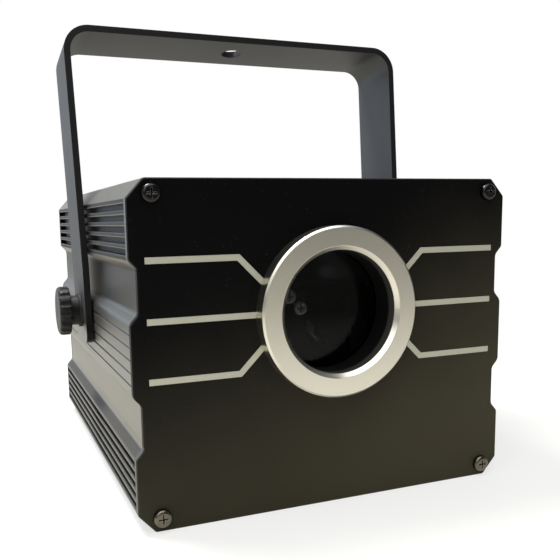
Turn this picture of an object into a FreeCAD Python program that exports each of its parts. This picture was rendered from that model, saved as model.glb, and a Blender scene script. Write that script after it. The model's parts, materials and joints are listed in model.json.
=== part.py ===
import FreeCAD
import Part
import math
import os

# Laser show projector: finned housing tube, end panels, scanner optics and a U bracket.
# Millimetres. +Z up, the light leaves along -Y, +X is to the right seen from the front.
# The origin is the middle of the flat underside; y = 0 is mid depth, where the bracket pivots.

# Housing tube and end panels
housing_width = 163.0
housing_height = 130.0
housing_depth = 195.0
panel_thickness = 3.0
panel_edge_break = 0.4
corner_chamfer = 7.2
corner_chamfer_width = 6.5
corner_radius = 1.5
side_wall = 2.4
top_wall = 3.0

# Side profile, counted from mid height up and mirrored below
mid_land_half = 13.3
recess_ramp = 3.4
recess_flat = 16.3
recess_depth = 3.1
recess_radius = 3.2
fin_lip_radius = 2.1
fin_land_margin = 0.3
groove_pitch = 4.0
groove_width = 2.3
groove_depth = 2.8
fin_tip_break = 0.3
scribe_pitch = 4.7
scribe_width = 0.9
scribe_depth = 0.6

# Corner screws and the ports that hold them
port_inset_x = 8.9
port_inset_z = 5.5
port_boss_radius = 4.6
port_slot = 1.6
screw_radius = 2.0
screw_head_radius = 3.5
screw_head_height = 2.4
screw_length = 14.0
screw_dome_share = 0.6
recess_radius_share = 0.55
recess_floor_share = 0.5
recess_depth_share = 0.65
recess_wing_share = 0.3

# Clearances and the overrun of cuts
thread_gap = 0.05
running_gap = 0.06
seat_gap = 0.15
hole_gap = 0.25
overrun = 1.0
same_point = 1e-6
full_turn = 360.0
right_angle = 90.0
mirror_angle = 45.0

# Aperture ring, window and ring nut
ring_lift = 13.5
ring_outer_radius = 33.5
ring_flange_overlap = 4.5
ring_seat_ledge = 1.8
ring_bevel = 1.6
ring_protrusion = 6.8
ring_edge_break = 0.8
spigot_wall = 3.0
spigot_reach = 8.0
glass_thickness = 2.0
gasket_thickness = 0.6
gasket_width = 1.4
nut_wall = 4.0
nut_lip_depth = 1.5
nut_lip_overlap = 1.6
nut_slot_count = 4
nut_slot_width = 4.0
nut_slot_depth = 1.2

# Bracket, pivots and knobs
pivot_lift = 8.5
bracket_width = 32.0
bracket_thickness = 3.0
bracket_height = 130.0
bracket_bend_radius = 12.0
bracket_tail = 15.5
bracket_tail_radius = 5.0
bracket_splay = 2.0
bracket_straight = 18.0
bracket_straight_radius = 60.0
bracket_lean = 6.2
clamp_hole_radius = 5.25
pivot_washer_radius = 8.0
pivot_washer_thickness = 0.6
stud_radius = 3.0
stud_inner_reach = 2.0
stud_grip = 6.0
insert_wall = 1.0
insert_flange_radius = 6.0
insert_flange_thickness = 1.2
knob_washer_radius = 8.0
knob_washer_thickness = 1.0
knob_neck_radius = 7.0
knob_neck_length = 4.2
knob_head_radius = 11.5
knob_head_thickness = 5.4
knob_edge_break = 0.6
knob_edge_radius = 1.8
knob_flute_count = 16
knob_flute_radius = 2.0
knob_flute_depth = 0.8

# Optical bench in the housing's rails
beam_height = 23.0
bench_thickness = 3.0
bench_rear_room = 27.5
rail_depth = 3.5
rail_thickness = 2.0
bench_edge_inset = 1.2

# Scanner: two motors with a mirror each
scan_clearance = 1.2
scan_offset = 1.5
scan_mirror_gap = 13.5
motor_radius = 6.0
motor_length = 30.0
motor_nose_radius = 4.2
motor_nose_length = 2.0
shaft_radius = 1.5
shaft_inner_reach = 6.0
mirror_hub_radius = 3.6
mirror_hub_length = 1.6
mirror_hub_gap = 0.6
mirror_y_width = 13.0
mirror_x_width = 8.0
mirror_thickness = 1.0
mirror_half_length = 4.8
galvo_wall = 2.5
galvo_edge_radius = 2.0
galvo_grip = 18.0
galvo_foot = 5.0
galvo_screw_head_radius = 3.4
galvo_screw_head_height = 1.8
galvo_screw_radius = 1.25
galvo_screw_length = 5.0
galvo_screw_step = 5.0

# Lasers and the mirrors that join their beams
laser_count = 3
laser_gap = 2.0
laser_galvo_gap = 14.5
laser_length = 45.0
laser_height = 26.0
laser_rear_gap = 8.0
laser_side_gap = 1.5
laser_fin_count = 5
laser_fin_width = 1.6
laser_fin_depth = 4.0
laser_barrel_step = 2.0
laser_barrel_length = 8.0
laser_lens_wall = 3.0
laser_lens_depth = 2.0
laser_foot_height = 4.0
laser_stem_step = 3.0
combiner_thickness = 1.6
holder_step = 4.0
holder_thickness = 5.0
holder_foot_length = 7.0
holder_foot_height = 4.0

# Boards, power supply and standoffs
board_thickness = 1.6
board_margin = 5.0
standoff_radius = 2.5
standoff_sides = 6
driver_board_width = 52.0
driver_board_length = 70.0
driver_board_lift = 5.0
stack_lift = 20.0
control_board_gap = 10.0
control_board_length = 100.0
chip_height = 2.4
chip_shares = ((0.30, 0.30, 0.28), (0.70, 0.62, 0.34), (0.32, 0.74, 0.20))
supply_width = 64.0
supply_length = 110.0
supply_top_gap = 6.0
supply_corner_radius = 1.5
supply_slot_count = 9
supply_slot_width = 2.4
supply_slot_depth = 1.0
supply_slot_length = 30.0
supply_slot_pitch = 8.0
inside_gap = 2.0

# Fan behind the rear panel
fan_size = 60.0
fan_depth = 15.0
fan_corner_radius = 3.0
fan_rim = 1.5
fan_duct_wall = 1.3
fan_flange = 3.0
fan_hole_inset = 5.0
fan_side_gap = 8.0
fan_hub_radius = 13.0
fan_hub_wall = 2.0
fan_strut_count = 4
fan_strut_width = 3.2
fan_strut_depth = 3.0
fan_shaft_radius = 1.5
fan_bearing_radius = 4.0
fan_end_gap = 0.8
fan_tip_gap = 0.8
blade_count = 7
blade_thickness = 1.2
blade_root_clearance = 0.5
blade_chord = 13.0
blade_camber = 1.6
blade_root_angle = 46.0
blade_tip_angle = 30.0
guard_wire_radius = 0.8
guard_ring_count = 4
guard_ring_margin = 1.7
guard_first_ring = 7.0
guard_eye_radius = 3.6
guard_wire_sides = 6
guard_weld = 0.25

# Power inlet with fuse drawer, and the rocker switch
row_side_gap = 9.0
row_gap_count = 3
rear_gap_count = 3
inlet_bezel_width = 31.0
inlet_bezel_height = 37.0
inlet_bezel_thickness = 2.4
inlet_bezel_radius = 2.0
inlet_bezel_rim_x = 1.8
inlet_bezel_rim_z = 2.5
inlet_body_depth = 26.0
inlet_cavity_width = 24.2
inlet_cavity_height = 16.6
inlet_cavity_depth = 17.0
inlet_cavity_chamfer = 4.6
inlet_cavity_wall = 2.5
inlet_cavity_radius = 1.0
pin_width = 4.0
pin_thickness = 2.0
pin_length = 15.0
pin_spacing = 7.0
pin_rise = 2.0
drawer_width = 23.0
drawer_height = 7.0
drawer_depth = 20.0
drawer_floor_wall = 1.7
drawer_face_lip = 1.0
drawer_pull_height = 2.6
drawer_wall = 1.2
fuse_radius = 2.1
fuse_length = 16.0
switch_bezel_width = 15.0
switch_bezel_height = 21.0
switch_bezel_thickness = 2.0
switch_bezel_radius = 1.2
switch_bezel_rim = 1.1
switch_body_depth = 13.0
switch_side_wall = 1.3
switch_end_wall = 1.2
rocker_valley = 2.4
rocker_floor = 3.0
rocker_lean = 9.0
rocker_end_angle = 28.0
rocker_pivot_depth = 1.0
rocker_gap = 0.3
rocker_pin_radius = 1.2
rocker_pin_length = 0.9

# Control line sockets
socket_flange_width = 26.0
socket_flange_height = 31.0
socket_flange_thickness = 2.2
socket_flange_radius = 3.0
socket_body_radius = 11.6
socket_body_depth = 22.0
socket_wall = 2.0
socket_bore_depth = 16.0
socket_lip_step = 0.4
socket_lip_height = 1.4
socket_screw_x = 9.5
socket_screw_z = 12.0
socket_screw_radius = 1.5
socket_screw_head_radius = 2.7
socket_screw_head_height = 1.7
socket_screw_length = 6.0
contact_radius = 1.2
contact_length = 12.0
contact_circle = 4.7
contact_spread = 90.0
insert_gap = 1.3
insert_hole_radius = 1.6
insert_hole_depth = 8.0
latch_width = 7.0
latch_height = 3.0
latch_depth = 3.4
latch_reach = 1.6
latch_travel = 1.2

# Display and menu buttons
display_board_width = 46.0
display_board_height = 50.0
display_standoff = 9.0
display_top_gap = 9.0
display_window_width = 32.0
display_window_height = 14.0
display_window_rim = 2.0
display_window_rim_thickness = 1.0
display_window_radius = 1.0
display_drop = 17.0
digit_block_width = 30.0
digit_block_height = 13.0
button_count = 4
button_pitch = 11.0
button_radius = 3.6
button_drop = 21.0
button_protrusion = 2.2
button_edge_break = 0.6
button_flange_extra = 1.2
button_flange_thickness = 1.0
button_travel = 0.8
tact_width = 6.0

# Housing places worked out from the sizes above
half_width = housing_width / 2
mid_z = housing_height / 2
front_face_y = -housing_depth / 2
front_inner_y = front_face_y + panel_thickness
rear_face_y = housing_depth / 2
rear_inner_y = rear_face_y - panel_thickness
recess_bottom = mid_land_half + recess_ramp
recess_top = recess_bottom + recess_flat
fin_land_bottom = recess_top + recess_ramp
fin_land_top = mid_z - corner_chamfer
cavity_half_width = half_width - recess_depth - side_wall
cavity_top_z = housing_height - top_wall
ring_z = mid_z + ring_lift
pivot_z = mid_z + pivot_lift

# Ring and window radii, from the outside in
spigot_radius = ring_outer_radius - ring_flange_overlap
glass_radius = spigot_radius - spigot_wall
ring_bore_radius = glass_radius - ring_seat_ledge
ring_face_radius = ring_bore_radius + ring_bevel
nut_outer_radius = spigot_radius + nut_wall

# Bench, scanner and lasers
galvo_half = motor_radius + galvo_wall
nut_end_y = front_inner_y + spigot_reach + nut_lip_depth
scan_y = nut_end_y + scan_clearance + galvo_screw_head_height + galvo_half
beam_z = ring_z - scan_mirror_gap
bench_top_z = beam_z - beam_height
bench_low_z = bench_top_z - bench_thickness
bench_front_y = nut_end_y + inside_gap
bench_rear_y = rear_inner_y - bench_rear_room
laser_inner_x = scan_offset + galvo_half + laser_galvo_gap
laser_wall_x = cavity_half_width - rail_depth - laser_side_gap
laser_pitch = (laser_wall_x + laser_gap / 2 - laser_inner_x) / (laser_count - 1 / 2)
laser_width = laser_pitch - laser_gap
laser_front_y = bench_rear_y - laser_rear_gap - laser_length
laser_barrel_radius = laser_width / 2 - laser_barrel_step
laser_lens_radius = laser_barrel_radius - laser_lens_wall
holder_width = laser_width - holder_step
floor_half_width = half_width - port_inset_x - port_boss_radius - inside_gap
control_board_width = 2 * floor_half_width - supply_width - control_board_gap
supply_height = bench_low_z - top_wall - supply_top_gap

# Rear panel: the fan above the row of connectors, with even gaps
rear_gap = (housing_height - 2 * top_wall - fan_size - inlet_bezel_height) / rear_gap_count
row_z = top_wall + rear_gap + inlet_bezel_height / 2
row_widths = inlet_bezel_width + switch_bezel_width + 2 * socket_flange_width
row_gap = (2 * (cavity_half_width - row_side_gap) - row_widths) / row_gap_count
inlet_x = cavity_half_width - row_side_gap - inlet_bezel_width / 2
switch_x = inlet_x - inlet_bezel_width / 2 - row_gap - switch_bezel_width / 2
dmx_in_x = switch_x - switch_bezel_width / 2 - row_gap - socket_flange_width / 2
dmx_out_x = dmx_in_x - socket_flange_width - row_gap
fan_x = cavity_half_width - fan_side_gap - fan_size / 2
fan_z = cavity_top_z - rear_gap - fan_size / 2
fan_bore_radius = fan_size / 2 - fan_rim
fan_hole_pitch = fan_size - 2 * fan_hole_inset
guard_ring_step = (fan_bore_radius - guard_first_ring - guard_ring_margin) / (guard_ring_count - 1)
display_x = (fan_x - fan_size / 2 - cavity_half_width) / 2
display_z = cavity_top_z - display_top_gap - display_drop
button_z = display_z - button_drop

# Bodies inside their bezels
inlet_body_width = inlet_bezel_width - 2 * inlet_bezel_rim_x
inlet_body_height = inlet_bezel_height - 2 * inlet_bezel_rim_z
inlet_cavity_z = row_z + inlet_body_height / 2 - inlet_cavity_wall - inlet_cavity_height / 2
drawer_z = row_z - inlet_body_height / 2 + drawer_floor_wall + drawer_height / 2
inlet_face_y = rear_face_y + inlet_bezel_thickness
switch_body_width = switch_bezel_width - 2 * switch_bezel_rim
switch_body_height = switch_bezel_height - 2 * switch_bezel_rim
rocker_width = switch_body_width - 2 * switch_side_wall
rocker_radius = switch_body_height / 2 - switch_end_wall
socket_bore_radius = socket_body_radius - socket_wall
socket_lip_radius = socket_body_radius - socket_lip_step

V = FreeCAD.Vector
right = V(1, 0, 0)
back = V(0, 1, 0)
up = V(0, 0, 1)


# Shape helpers


# Closed wire in the XZ plane through (x, z, corner radius) points
def outline(points):
    spots = []
    for i, (x, z, radius) in enumerate(points):
        here = V(x, 0, z)
        if radius == 0:
            spots.append((here, None, here))
            continue
        last = points[i - 1]
        following = points[(i + 1) % len(points)]
        to_last = (V(last[0], 0, last[1]) - here).normalize()
        to_next = (V(following[0], 0, following[1]) - here).normalize()
        half = to_last.getAngle(to_next) / 2
        reach = radius / math.tan(half)
        bulge = (to_last + to_next).normalize() * (radius / math.sin(half) - radius)
        spots.append((here + to_last * reach, here + bulge, here + to_next * reach))
    edges = []
    for i, (start, middle, end) in enumerate(spots):
        if middle is not None:
            edges.append(Part.Arc(start, middle, end).toShape())
        beyond = spots[(i + 1) % len(spots)][0]
        if (beyond - end).Length > same_point:
            edges.append(Part.LineSegment(end, beyond).toShape())
    return Part.Wire(edges)


# Plate with an XZ outline, from y towards the back
def slab(points, y, depth):
    plate = Part.Face(outline(points)).extrude(back * depth)
    plate.translate(back * y)
    return plate


# Outline points of a rectangle with rounded corners
def rectangle(x, z, width, height, radius):
    w, h = width / 2, height / 2
    return [(x + w, z + h, radius), (x + w, z - h, radius),
            (x - w, z - h, radius), (x - w, z + h, radius)]


# Turned piece: (radius, along, corner radius) points spun about an axis
def lathe(points, centre, axis):
    piece = Part.Face(outline(points)).revolve(V(0, 0, 0), up, full_turn)
    piece.Placement = FreeCAD.Placement(centre, FreeCAD.Rotation(up, axis))
    return piece


def rod(radius, start, axis, length):
    return Part.makeCylinder(radius, length, start, axis)


def block(x0, x1, y0, y1, z0, z1):
    return Part.makeBox(x1 - x0, y1 - y0, z1 - z0, V(x0, y0, z0))


# Tapered cross recess, from its mouth along axis
def cross_recess(mouth, axis, head_radius, head_height):
    reach = head_radius * recess_radius_share
    depth = head_height * recess_depth_share
    half = reach * recess_wing_share / 2
    wings = [block(-reach, reach, -half, half, 0, depth), block(-half, half, -reach, reach, 0, depth)]
    cone = Part.makeCone(reach, reach * recess_floor_share, depth)
    recess = cone.common(wings[0].fuse(wings[1]).removeSplitter())
    recess.Placement = FreeCAD.Placement(mouth, FreeCAD.Rotation(up, axis))
    return recess


# Pan head screw whose head sits on seat and whose shank runs along axis
def pan_screw(seat, axis, radius, head_radius, head_height, length):
    dome = head_height * screw_dome_share
    points = [(0, -head_height, 0), (head_radius, -head_height, dome), (head_radius, 0, 0),
              (radius, 0, 0), (radius, length, 0), (0, length, 0)]
    screw = lathe(points, seat, axis)
    recess = cross_recess(seat - axis * head_height, axis, head_radius, head_height)
    return screw.cut(recess).Solids[0]


# The four places of a rectangular pattern about a centre
def four_places(x, z, spread_x, spread_z):
    return [(x + sx * spread_x, z + sz * spread_z) for sx in (-1, 1) for sz in (-1, 1)]


# Centres of a row of equal steps about zero, highest first
def row_of(count, pitch):
    return [pitch * ((count - 1) / 2 - i) for i in range(count)]


def group(shapes):
    return Part.makeCompound(shapes)


# Housing tube and end panels


# Points of the right side from top to bottom, about mid height
def side_points(grooved):
    upper = [(half_width - corner_chamfer_width, mid_z, corner_radius),
             (half_width, fin_land_top, corner_radius)]
    if grooved:
        land = fin_land_top - fin_land_bottom
        land_middle = (fin_land_top + fin_land_bottom) / 2
        floor = half_width - groove_depth
        count = int((land - 2 * fin_land_margin) // groove_pitch)
        for step in row_of(count, groove_pitch):
            high = land_middle + step + groove_width / 2
            low = high - groove_width
            tip = half_width - fin_tip_break
            upper += [(half_width, high + fin_tip_break, 0), (tip, high, 0), (floor, high, 0)]
            upper += [(floor, low, 0), (tip, low, 0), (half_width, low - fin_tip_break, 0)]
    recess_x = half_width - recess_depth
    upper += [(half_width, fin_land_bottom, fin_lip_radius), (recess_x, recess_top, recess_radius)]
    upper += [(recess_x, recess_bottom, recess_radius), (half_width, mid_land_half, recess_radius)]
    middle = []
    if grooved:
        for z in row_of(int(2 * mid_land_half // scribe_pitch), scribe_pitch):
            middle += [(half_width, z + scribe_width / 2, 0), (half_width - scribe_depth, z, 0)]
            middle += [(half_width, z - scribe_width / 2, 0)]
    lower = [(x, -z, radius) for x, z, radius in reversed(upper)]
    return upper + middle + lower


def housing_outline(grooved):
    side = [(x, z + mid_z, radius) for x, z, radius in side_points(grooved)]
    return side + [(-x, z, radius) for x, z, radius in reversed(side)]


def port_places():
    return four_places(0, mid_z, half_width - port_inset_x, mid_z - port_inset_z)


def disc(radius, x, z):
    return Part.Face(Part.Wire(Part.makeCircle(radius, V(x, 0, z), back)))


# Open channel from a screw port towards the inside of the tube
def port_channel(x, z):
    inwards = V(-x, 0, mid_z - z)
    inwards = V(math.copysign(1, inwards.x), 0, math.copysign(1, inwards.z)).normalize()
    aside = V(-inwards.z, 0, inwards.x) * (port_slot / 2)
    near = V(x, 0, z)
    far = near + inwards * (port_boss_radius + overrun)
    corners = [near + aside, far + aside, far - aside, near - aside]
    return Part.Face(Part.makePolygon(corners + corners[:1]))


# Rails above and below the bench, on both inner walls
def rail_faces():
    faces = []
    for side in (-1, 1):
        x = side * (cavity_half_width - rail_depth / 2)
        away = seat_gap + rail_thickness / 2
        for z in (bench_low_z - away, bench_top_z + away):
            faces.append(Part.Face(outline(rectangle(x, z, rail_depth, rail_thickness, 0))))
    return faces


def housing_extrusion():
    inner = rectangle(0, mid_z, 2 * cavity_half_width, housing_height - 2 * top_wall, 0)
    hollow = Part.Face(outline(inner))
    bosses = [disc(port_boss_radius, x, z) for x, z in port_places()]
    hollow = hollow.cut(bosses + rail_faces())
    holes = [disc(screw_radius + thread_gap, x, z) for x, z in port_places()]
    channels = [port_channel(x, z) for x, z in port_places()]
    section = Part.Face(outline(housing_outline(True))).cut([hollow] + holes + channels)
    tube = section.Faces[0].extrude(back * (rear_inner_y - front_inner_y))
    tube.translate(back * front_inner_y)
    for side in (-1, 1):
        start = V(side * (half_width + overrun), 0, pivot_z)
        depth = half_width - cavity_half_width + 2 * overrun
        tube = tube.cut(rod(stud_radius + insert_wall, start, right * -side, depth))
    return tube.Solids[0]


# Plate with the housing's outline and the corner screw holes, edge broken on the outer face
def end_panel(outer_y, inner_y):
    low_y = min(outer_y, inner_y)
    plate = slab(housing_outline(False), low_y, panel_thickness)
    outer_edges = []
    for face in plate.Faces:
        if abs(face.CenterOfMass.y - outer_y) < same_point:
            outer_edges = face.OuterWire.Edges
    plate = plate.makeChamfer(panel_edge_break, outer_edges)
    for x, z in port_places():
        start = V(x, low_y - overrun, z)
        plate = plate.cut(rod(screw_radius + hole_gap, start, back, panel_thickness + 2 * overrun))
    return plate


def front_panel():
    plate = end_panel(front_face_y, front_inner_y)
    start = V(0, front_face_y - overrun, ring_z)
    hole = rod(spigot_radius + seat_gap, start, back, panel_thickness + 2 * overrun)
    return plate.cut(hole).Solids[0]


def corner_screws(outer_y, axis):
    screws = []
    for x, z in port_places():
        seat = V(x, outer_y, z)
        screws.append(pan_screw(seat, axis, screw_radius, screw_head_radius, screw_head_height,
                                screw_length))
    return group(screws)


# Aperture ring and window, turned about the light's axis; along is counted from the panel's face
spigot_end = panel_thickness + spigot_reach
glass_front = spigot_end - glass_thickness
seat_floor = glass_front - gasket_thickness
ring_origin = V(0, front_face_y, ring_z)


def aperture_ring():
    face = -ring_protrusion
    seat = glass_radius + seat_gap
    points = [(ring_face_radius, face, 0), (ring_outer_radius - ring_edge_break, face, 0),
              (ring_outer_radius, face + ring_edge_break, 0), (ring_outer_radius, 0, 0),
              (spigot_radius, 0, 0), (spigot_radius, spigot_end, 0), (seat, spigot_end, 0),
              (seat, seat_floor, 0), (ring_bore_radius, seat_floor, 0),
              (ring_bore_radius, face + ring_bevel, 0)]
    return lathe(points, ring_origin, back)


def window_glass():
    points = [(0, glass_front, 0), (glass_radius, glass_front, 0), (glass_radius, spigot_end, 0),
              (0, spigot_end, 0)]
    return lathe(points, ring_origin, back)


def window_gasket():
    inner = glass_radius - gasket_width
    points = [(inner, seat_floor, 0), (glass_radius, seat_floor, 0), (glass_radius, glass_front, 0),
              (inner, glass_front, 0)]
    return lathe(points, ring_origin, back)


def ring_nut():
    bore = spigot_radius + thread_gap
    lip = glass_radius - nut_lip_overlap
    end = spigot_end + nut_lip_depth
    points = [(bore, panel_thickness, 0), (nut_outer_radius, panel_thickness, 0),
              (nut_outer_radius, end, 0), (lip, end, 0), (lip, spigot_end, 0), (bore, spigot_end, 0)]
    nut = lathe(points, ring_origin, back)
    for i in range(nut_slot_count):
        slot = block(lip - overrun, nut_outer_radius + overrun, end - nut_slot_depth, end + overrun,
                     -nut_slot_width / 2, nut_slot_width / 2)
        slot.rotate(V(0, 0, 0), back, full_turn * i / nut_slot_count)
        slot.translate(ring_origin)
        nut = nut.cut(slot)
    return nut.Solids[0]


# Bracket, pivots and knobs
arm_inner = half_width + pivot_washer_thickness + running_gap
arm_outer = arm_inner + bracket_thickness
pivot = V(0, 0, pivot_z)


# Flat bar bent into a U about the pivot, then leaned back
def bracket():
    low, kink, high = -bracket_tail, bracket_straight, bracket_height
    wide = arm_outer + bracket_splay
    half = [(arm_outer, low, 0), (arm_outer, kink, bracket_straight_radius),
            (wide, high, bracket_bend_radius)]
    inner_bend = bracket_bend_radius - bracket_thickness
    inner_top = high - bracket_thickness
    inside = [(wide - bracket_thickness, inner_top, inner_bend),
              (arm_inner, kink, bracket_straight_radius), (arm_inner, low, 0)]
    outer = half + [(-x, z, radius) for x, z, radius in reversed(half)]
    inner = [(-x, z, radius) for x, z, radius in reversed(inside)] + inside
    bar = slab(outer + inner, -bracket_width / 2, bracket_width)
    side = [(bracket_width / 2, high, 0), (bracket_width / 2, low, bracket_tail_radius),
            (-bracket_width / 2, low, bracket_tail_radius), (-bracket_width / 2, high, 0)]
    span = 2 * (wide + overrun)
    trim = slab(side, -span / 2, span)
    trim.rotate(V(0, 0, 0), up, right_angle)
    bar = bar.common(trim)
    bar = bar.cut(rod(stud_radius + running_gap, V(-wide - overrun, 0, 0), right, span))
    hole_start = V(0, 0, inner_top - overrun)
    bar = bar.cut(rod(clamp_hole_radius, hole_start, up, bracket_thickness + 2 * overrun))
    bar.translate(pivot)
    bar.rotate(pivot, right, -bracket_lean)
    return bar.Solids[0]


def on_both_sides(make):
    return group([make(side) for side in (-1, 1)])


def pivot_insert(side):
    body = stud_radius + insert_wall
    bore = stud_radius + running_gap
    inner = -(half_width - cavity_half_width)
    points = [(bore, 0, 0), (body, 0, 0), (body, inner, 0), (insert_flange_radius, inner, 0),
              (insert_flange_radius, inner - insert_flange_thickness, 0),
              (bore, inner - insert_flange_thickness, 0)]
    return lathe(points, V(side * half_width, 0, pivot_z), right * side)


def washer(radius, thickness, start, side):
    points = [(stud_radius + running_gap, 0, 0), (radius, 0, 0), (radius, thickness, 0),
              (stud_radius + running_gap, thickness, 0)]
    return lathe(points, V(side * start, 0, pivot_z), right * side)


def pivot_washer(side):
    return washer(pivot_washer_radius, pivot_washer_thickness, half_width, side)


knob_washer_x = arm_outer + running_gap
knob_x = knob_washer_x + knob_washer_thickness


def knob_washer(side):
    return washer(knob_washer_radius, knob_washer_thickness, knob_washer_x, side)


# Moulded knob with a neck and a fluted head
def knob(side):
    end = knob_neck_length + knob_head_thickness
    points = [(stud_radius, 0, 0), (knob_neck_radius, 0, 0), (knob_neck_radius, knob_neck_length, 0),
              (knob_head_radius - knob_edge_break, knob_neck_length, 0),
              (knob_head_radius, knob_neck_length + knob_edge_break, 0),
              (knob_head_radius, end, knob_edge_radius), (0, end, 0), (0, stud_grip, 0),
              (stud_radius, stud_grip, 0)]
    start = V(side * knob_x, 0, pivot_z)
    head = lathe(points, start, right * side)
    away = knob_head_radius + knob_flute_radius - knob_flute_depth
    flutes = []
    for i in range(knob_flute_count):
        angle = 2 * math.pi * i / knob_flute_count
        place = start + V(side * (knob_neck_length - overrun), away * math.cos(angle),
                          away * math.sin(angle))
        flutes.append(rod(knob_flute_radius, place, right * side, knob_head_thickness + 2 * overrun))
    return head.cut(flutes).Solids[0]


def knob_stud(side):
    inner = cavity_half_width - insert_flange_thickness - stud_inner_reach
    length = knob_x + stud_grip - inner
    return rod(stud_radius, V(side * inner, 0, pivot_z), right * side, length)


# Optical bench and scanner


def optical_bench():
    reach = cavity_half_width - bench_edge_inset
    return block(-reach, reach, bench_front_y, bench_rear_y, bench_low_z, bench_top_z)


# Places along a scanner axis, counted from the middle of its mirror towards the motor
hub_start = mirror_half_length
nose_tip = hub_start + mirror_hub_length + mirror_hub_gap
can_front = nose_tip + motor_nose_length
can_end = can_front + motor_length
galvo_edge_x = scan_offset - hub_start - mirror_hub_length
scan_centre_y = V(scan_offset, scan_y, ring_z)
scan_centre_x = V(scan_offset, scan_y, beam_z)


# Upright that grips a motor, as an outline across the motor's axis
def grip_points(axis_height):
    top = axis_height + galvo_half
    return [(galvo_half, top, galvo_edge_radius), (galvo_half, 0, 0), (-galvo_half, 0, 0),
            (-galvo_half, top, galvo_edge_radius)]


# One machined block: a long upright for the upper motor and a short one for the lower
def galvo_block():
    end_x = scan_offset - can_end + (motor_length - galvo_grip) / 2
    upright_y = slab(grip_points(ring_z - bench_top_z), 0, galvo_edge_x - end_x)
    upright_y.rotate(V(0, 0, 0), up, right_angle)
    upright_y.translate(V(galvo_edge_x, scan_y, bench_top_z))
    start_y = scan_y + can_front + (motor_length - galvo_grip) / 2
    upright_x = slab(grip_points(beam_z - bench_top_z), start_y, galvo_grip)
    upright_x.translate(V(scan_offset, 0, bench_top_z))
    foot = block(end_x, scan_offset + galvo_half, scan_y - galvo_half, start_y + galvo_grip, bench_top_z,
                 bench_top_z + galvo_foot)
    whole = foot.fuse([upright_x, upright_y]).removeSplitter()
    bores = [rod(motor_radius + thread_gap, scan_centre_y, right * -1, can_end),
             rod(motor_radius + thread_gap, scan_centre_x, back, can_end)]
    bores += [rod(galvo_screw_radius + thread_gap, place - back * overrun, back,
                  motor_radius + galvo_screw_length + overrun) for place in galvo_screw_places()]
    return whole.cut(bores).Solids[0]


# Motor can with its nose
def galvo_motor(centre, axis):
    bore = shaft_radius + running_gap
    bottom = nose_tip + shaft_inner_reach + running_gap
    points = [(bore, nose_tip, 0), (motor_nose_radius, nose_tip, 0), (motor_nose_radius, can_front, 0),
              (motor_radius, can_front, 0), (motor_radius, can_end, 0), (0, can_end, 0), (0, bottom, 0),
              (bore, bottom, 0)]
    return lathe(points, centre, axis)


# Shaft with the hub that the mirror is bonded to
def galvo_shaft(centre, axis):
    hub_end = hub_start + mirror_hub_length
    tail = nose_tip + shaft_inner_reach
    points = [(0, hub_start, 0), (mirror_hub_radius, hub_start, 0), (mirror_hub_radius, hub_end, 0),
              (shaft_radius, hub_end, 0), (shaft_radius, tail, 0), (0, tail, 0)]
    return lathe(points, centre, axis)


def galvo_mirror_y():
    half = mirror_y_width / 2
    plate = block(-mirror_half_length, mirror_half_length, 0, mirror_thickness, -half, half)
    plate.rotate(V(0, 0, 0), right, mirror_angle)
    plate.translate(scan_centre_y)
    return plate


def galvo_mirror_x():
    half = mirror_x_width / 2
    plate = block(-half, half, -mirror_half_length, mirror_half_length, -mirror_thickness, 0)
    plate.rotate(V(0, 0, 0), back, mirror_angle)
    plate.translate(scan_centre_x)
    return plate


# Two clamp screws on the front of the block, above and below the upper motor's can
def galvo_screw_places():
    y = scan_y - galvo_half
    x = galvo_edge_x - galvo_screw_head_radius - running_gap
    return [V(x, y, ring_z), V(x - galvo_screw_step, y, ring_z + galvo_half - galvo_screw_head_radius)]


def galvo_screws():
    length = galvo_wall - running_gap
    return group([pan_screw(place, back, galvo_screw_radius, galvo_screw_head_radius,
                            galvo_screw_head_height, length) for place in galvo_screw_places()])


# Lasers and combining mirrors
def laser_x(index):
    return laser_wall_x - laser_width / 2 - laser_pitch * index


# Finned block on a stem and foot, with a lens barrel in front
def laser(index):
    x = laser_x(index)
    w = laser_width / 2
    stem = w - laser_stem_step
    body_low = beam_z - laser_height / 2
    body_high = beam_z + laser_height / 2
    foot_top = bench_top_z + laser_foot_height
    points = [(w, body_high, 0), (w, body_low, 0), (stem, body_low, 0), (stem, foot_top, 0),
              (w, foot_top, 0), (w, bench_top_z, 0)]
    points += [(-px, pz, 0) for px, pz, _ in reversed(points)]
    shape = slab([(px + x, pz, radius) for px, pz, radius in points], laser_front_y, laser_length)
    pitch = laser_length / (laser_fin_count + 1)
    for y in row_of(laser_fin_count, pitch):
        middle = laser_front_y + laser_length / 2 + y
        shape = shape.cut(block(x - w - overrun, x + w + overrun, middle - laser_fin_width,
                                middle + laser_fin_width, body_high - laser_fin_depth, body_high + overrun))
    place = V(x, laser_front_y, beam_z)
    shape = shape.fuse(rod(laser_barrel_radius, place, back * -1, laser_barrel_length)).removeSplitter()
    lens = V(x, laser_front_y - laser_barrel_length - overrun, beam_z)
    return shape.cut(rod(laser_lens_radius, lens, back, laser_lens_depth + overrun)).Solids[0]


# Each mirror turns one beam to the left, into the scanner
def turned_to_beam(shape, x):
    shape.rotate(V(0, 0, 0), up, mirror_angle)
    shape.translate(V(x, scan_y, 0))
    return shape


def combiner_mirror(index):
    half = holder_width / 2
    plate = block(-half, half, 0, combiner_thickness, beam_z - half, beam_z + half)
    return turned_to_beam(plate, laser_x(index))


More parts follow.
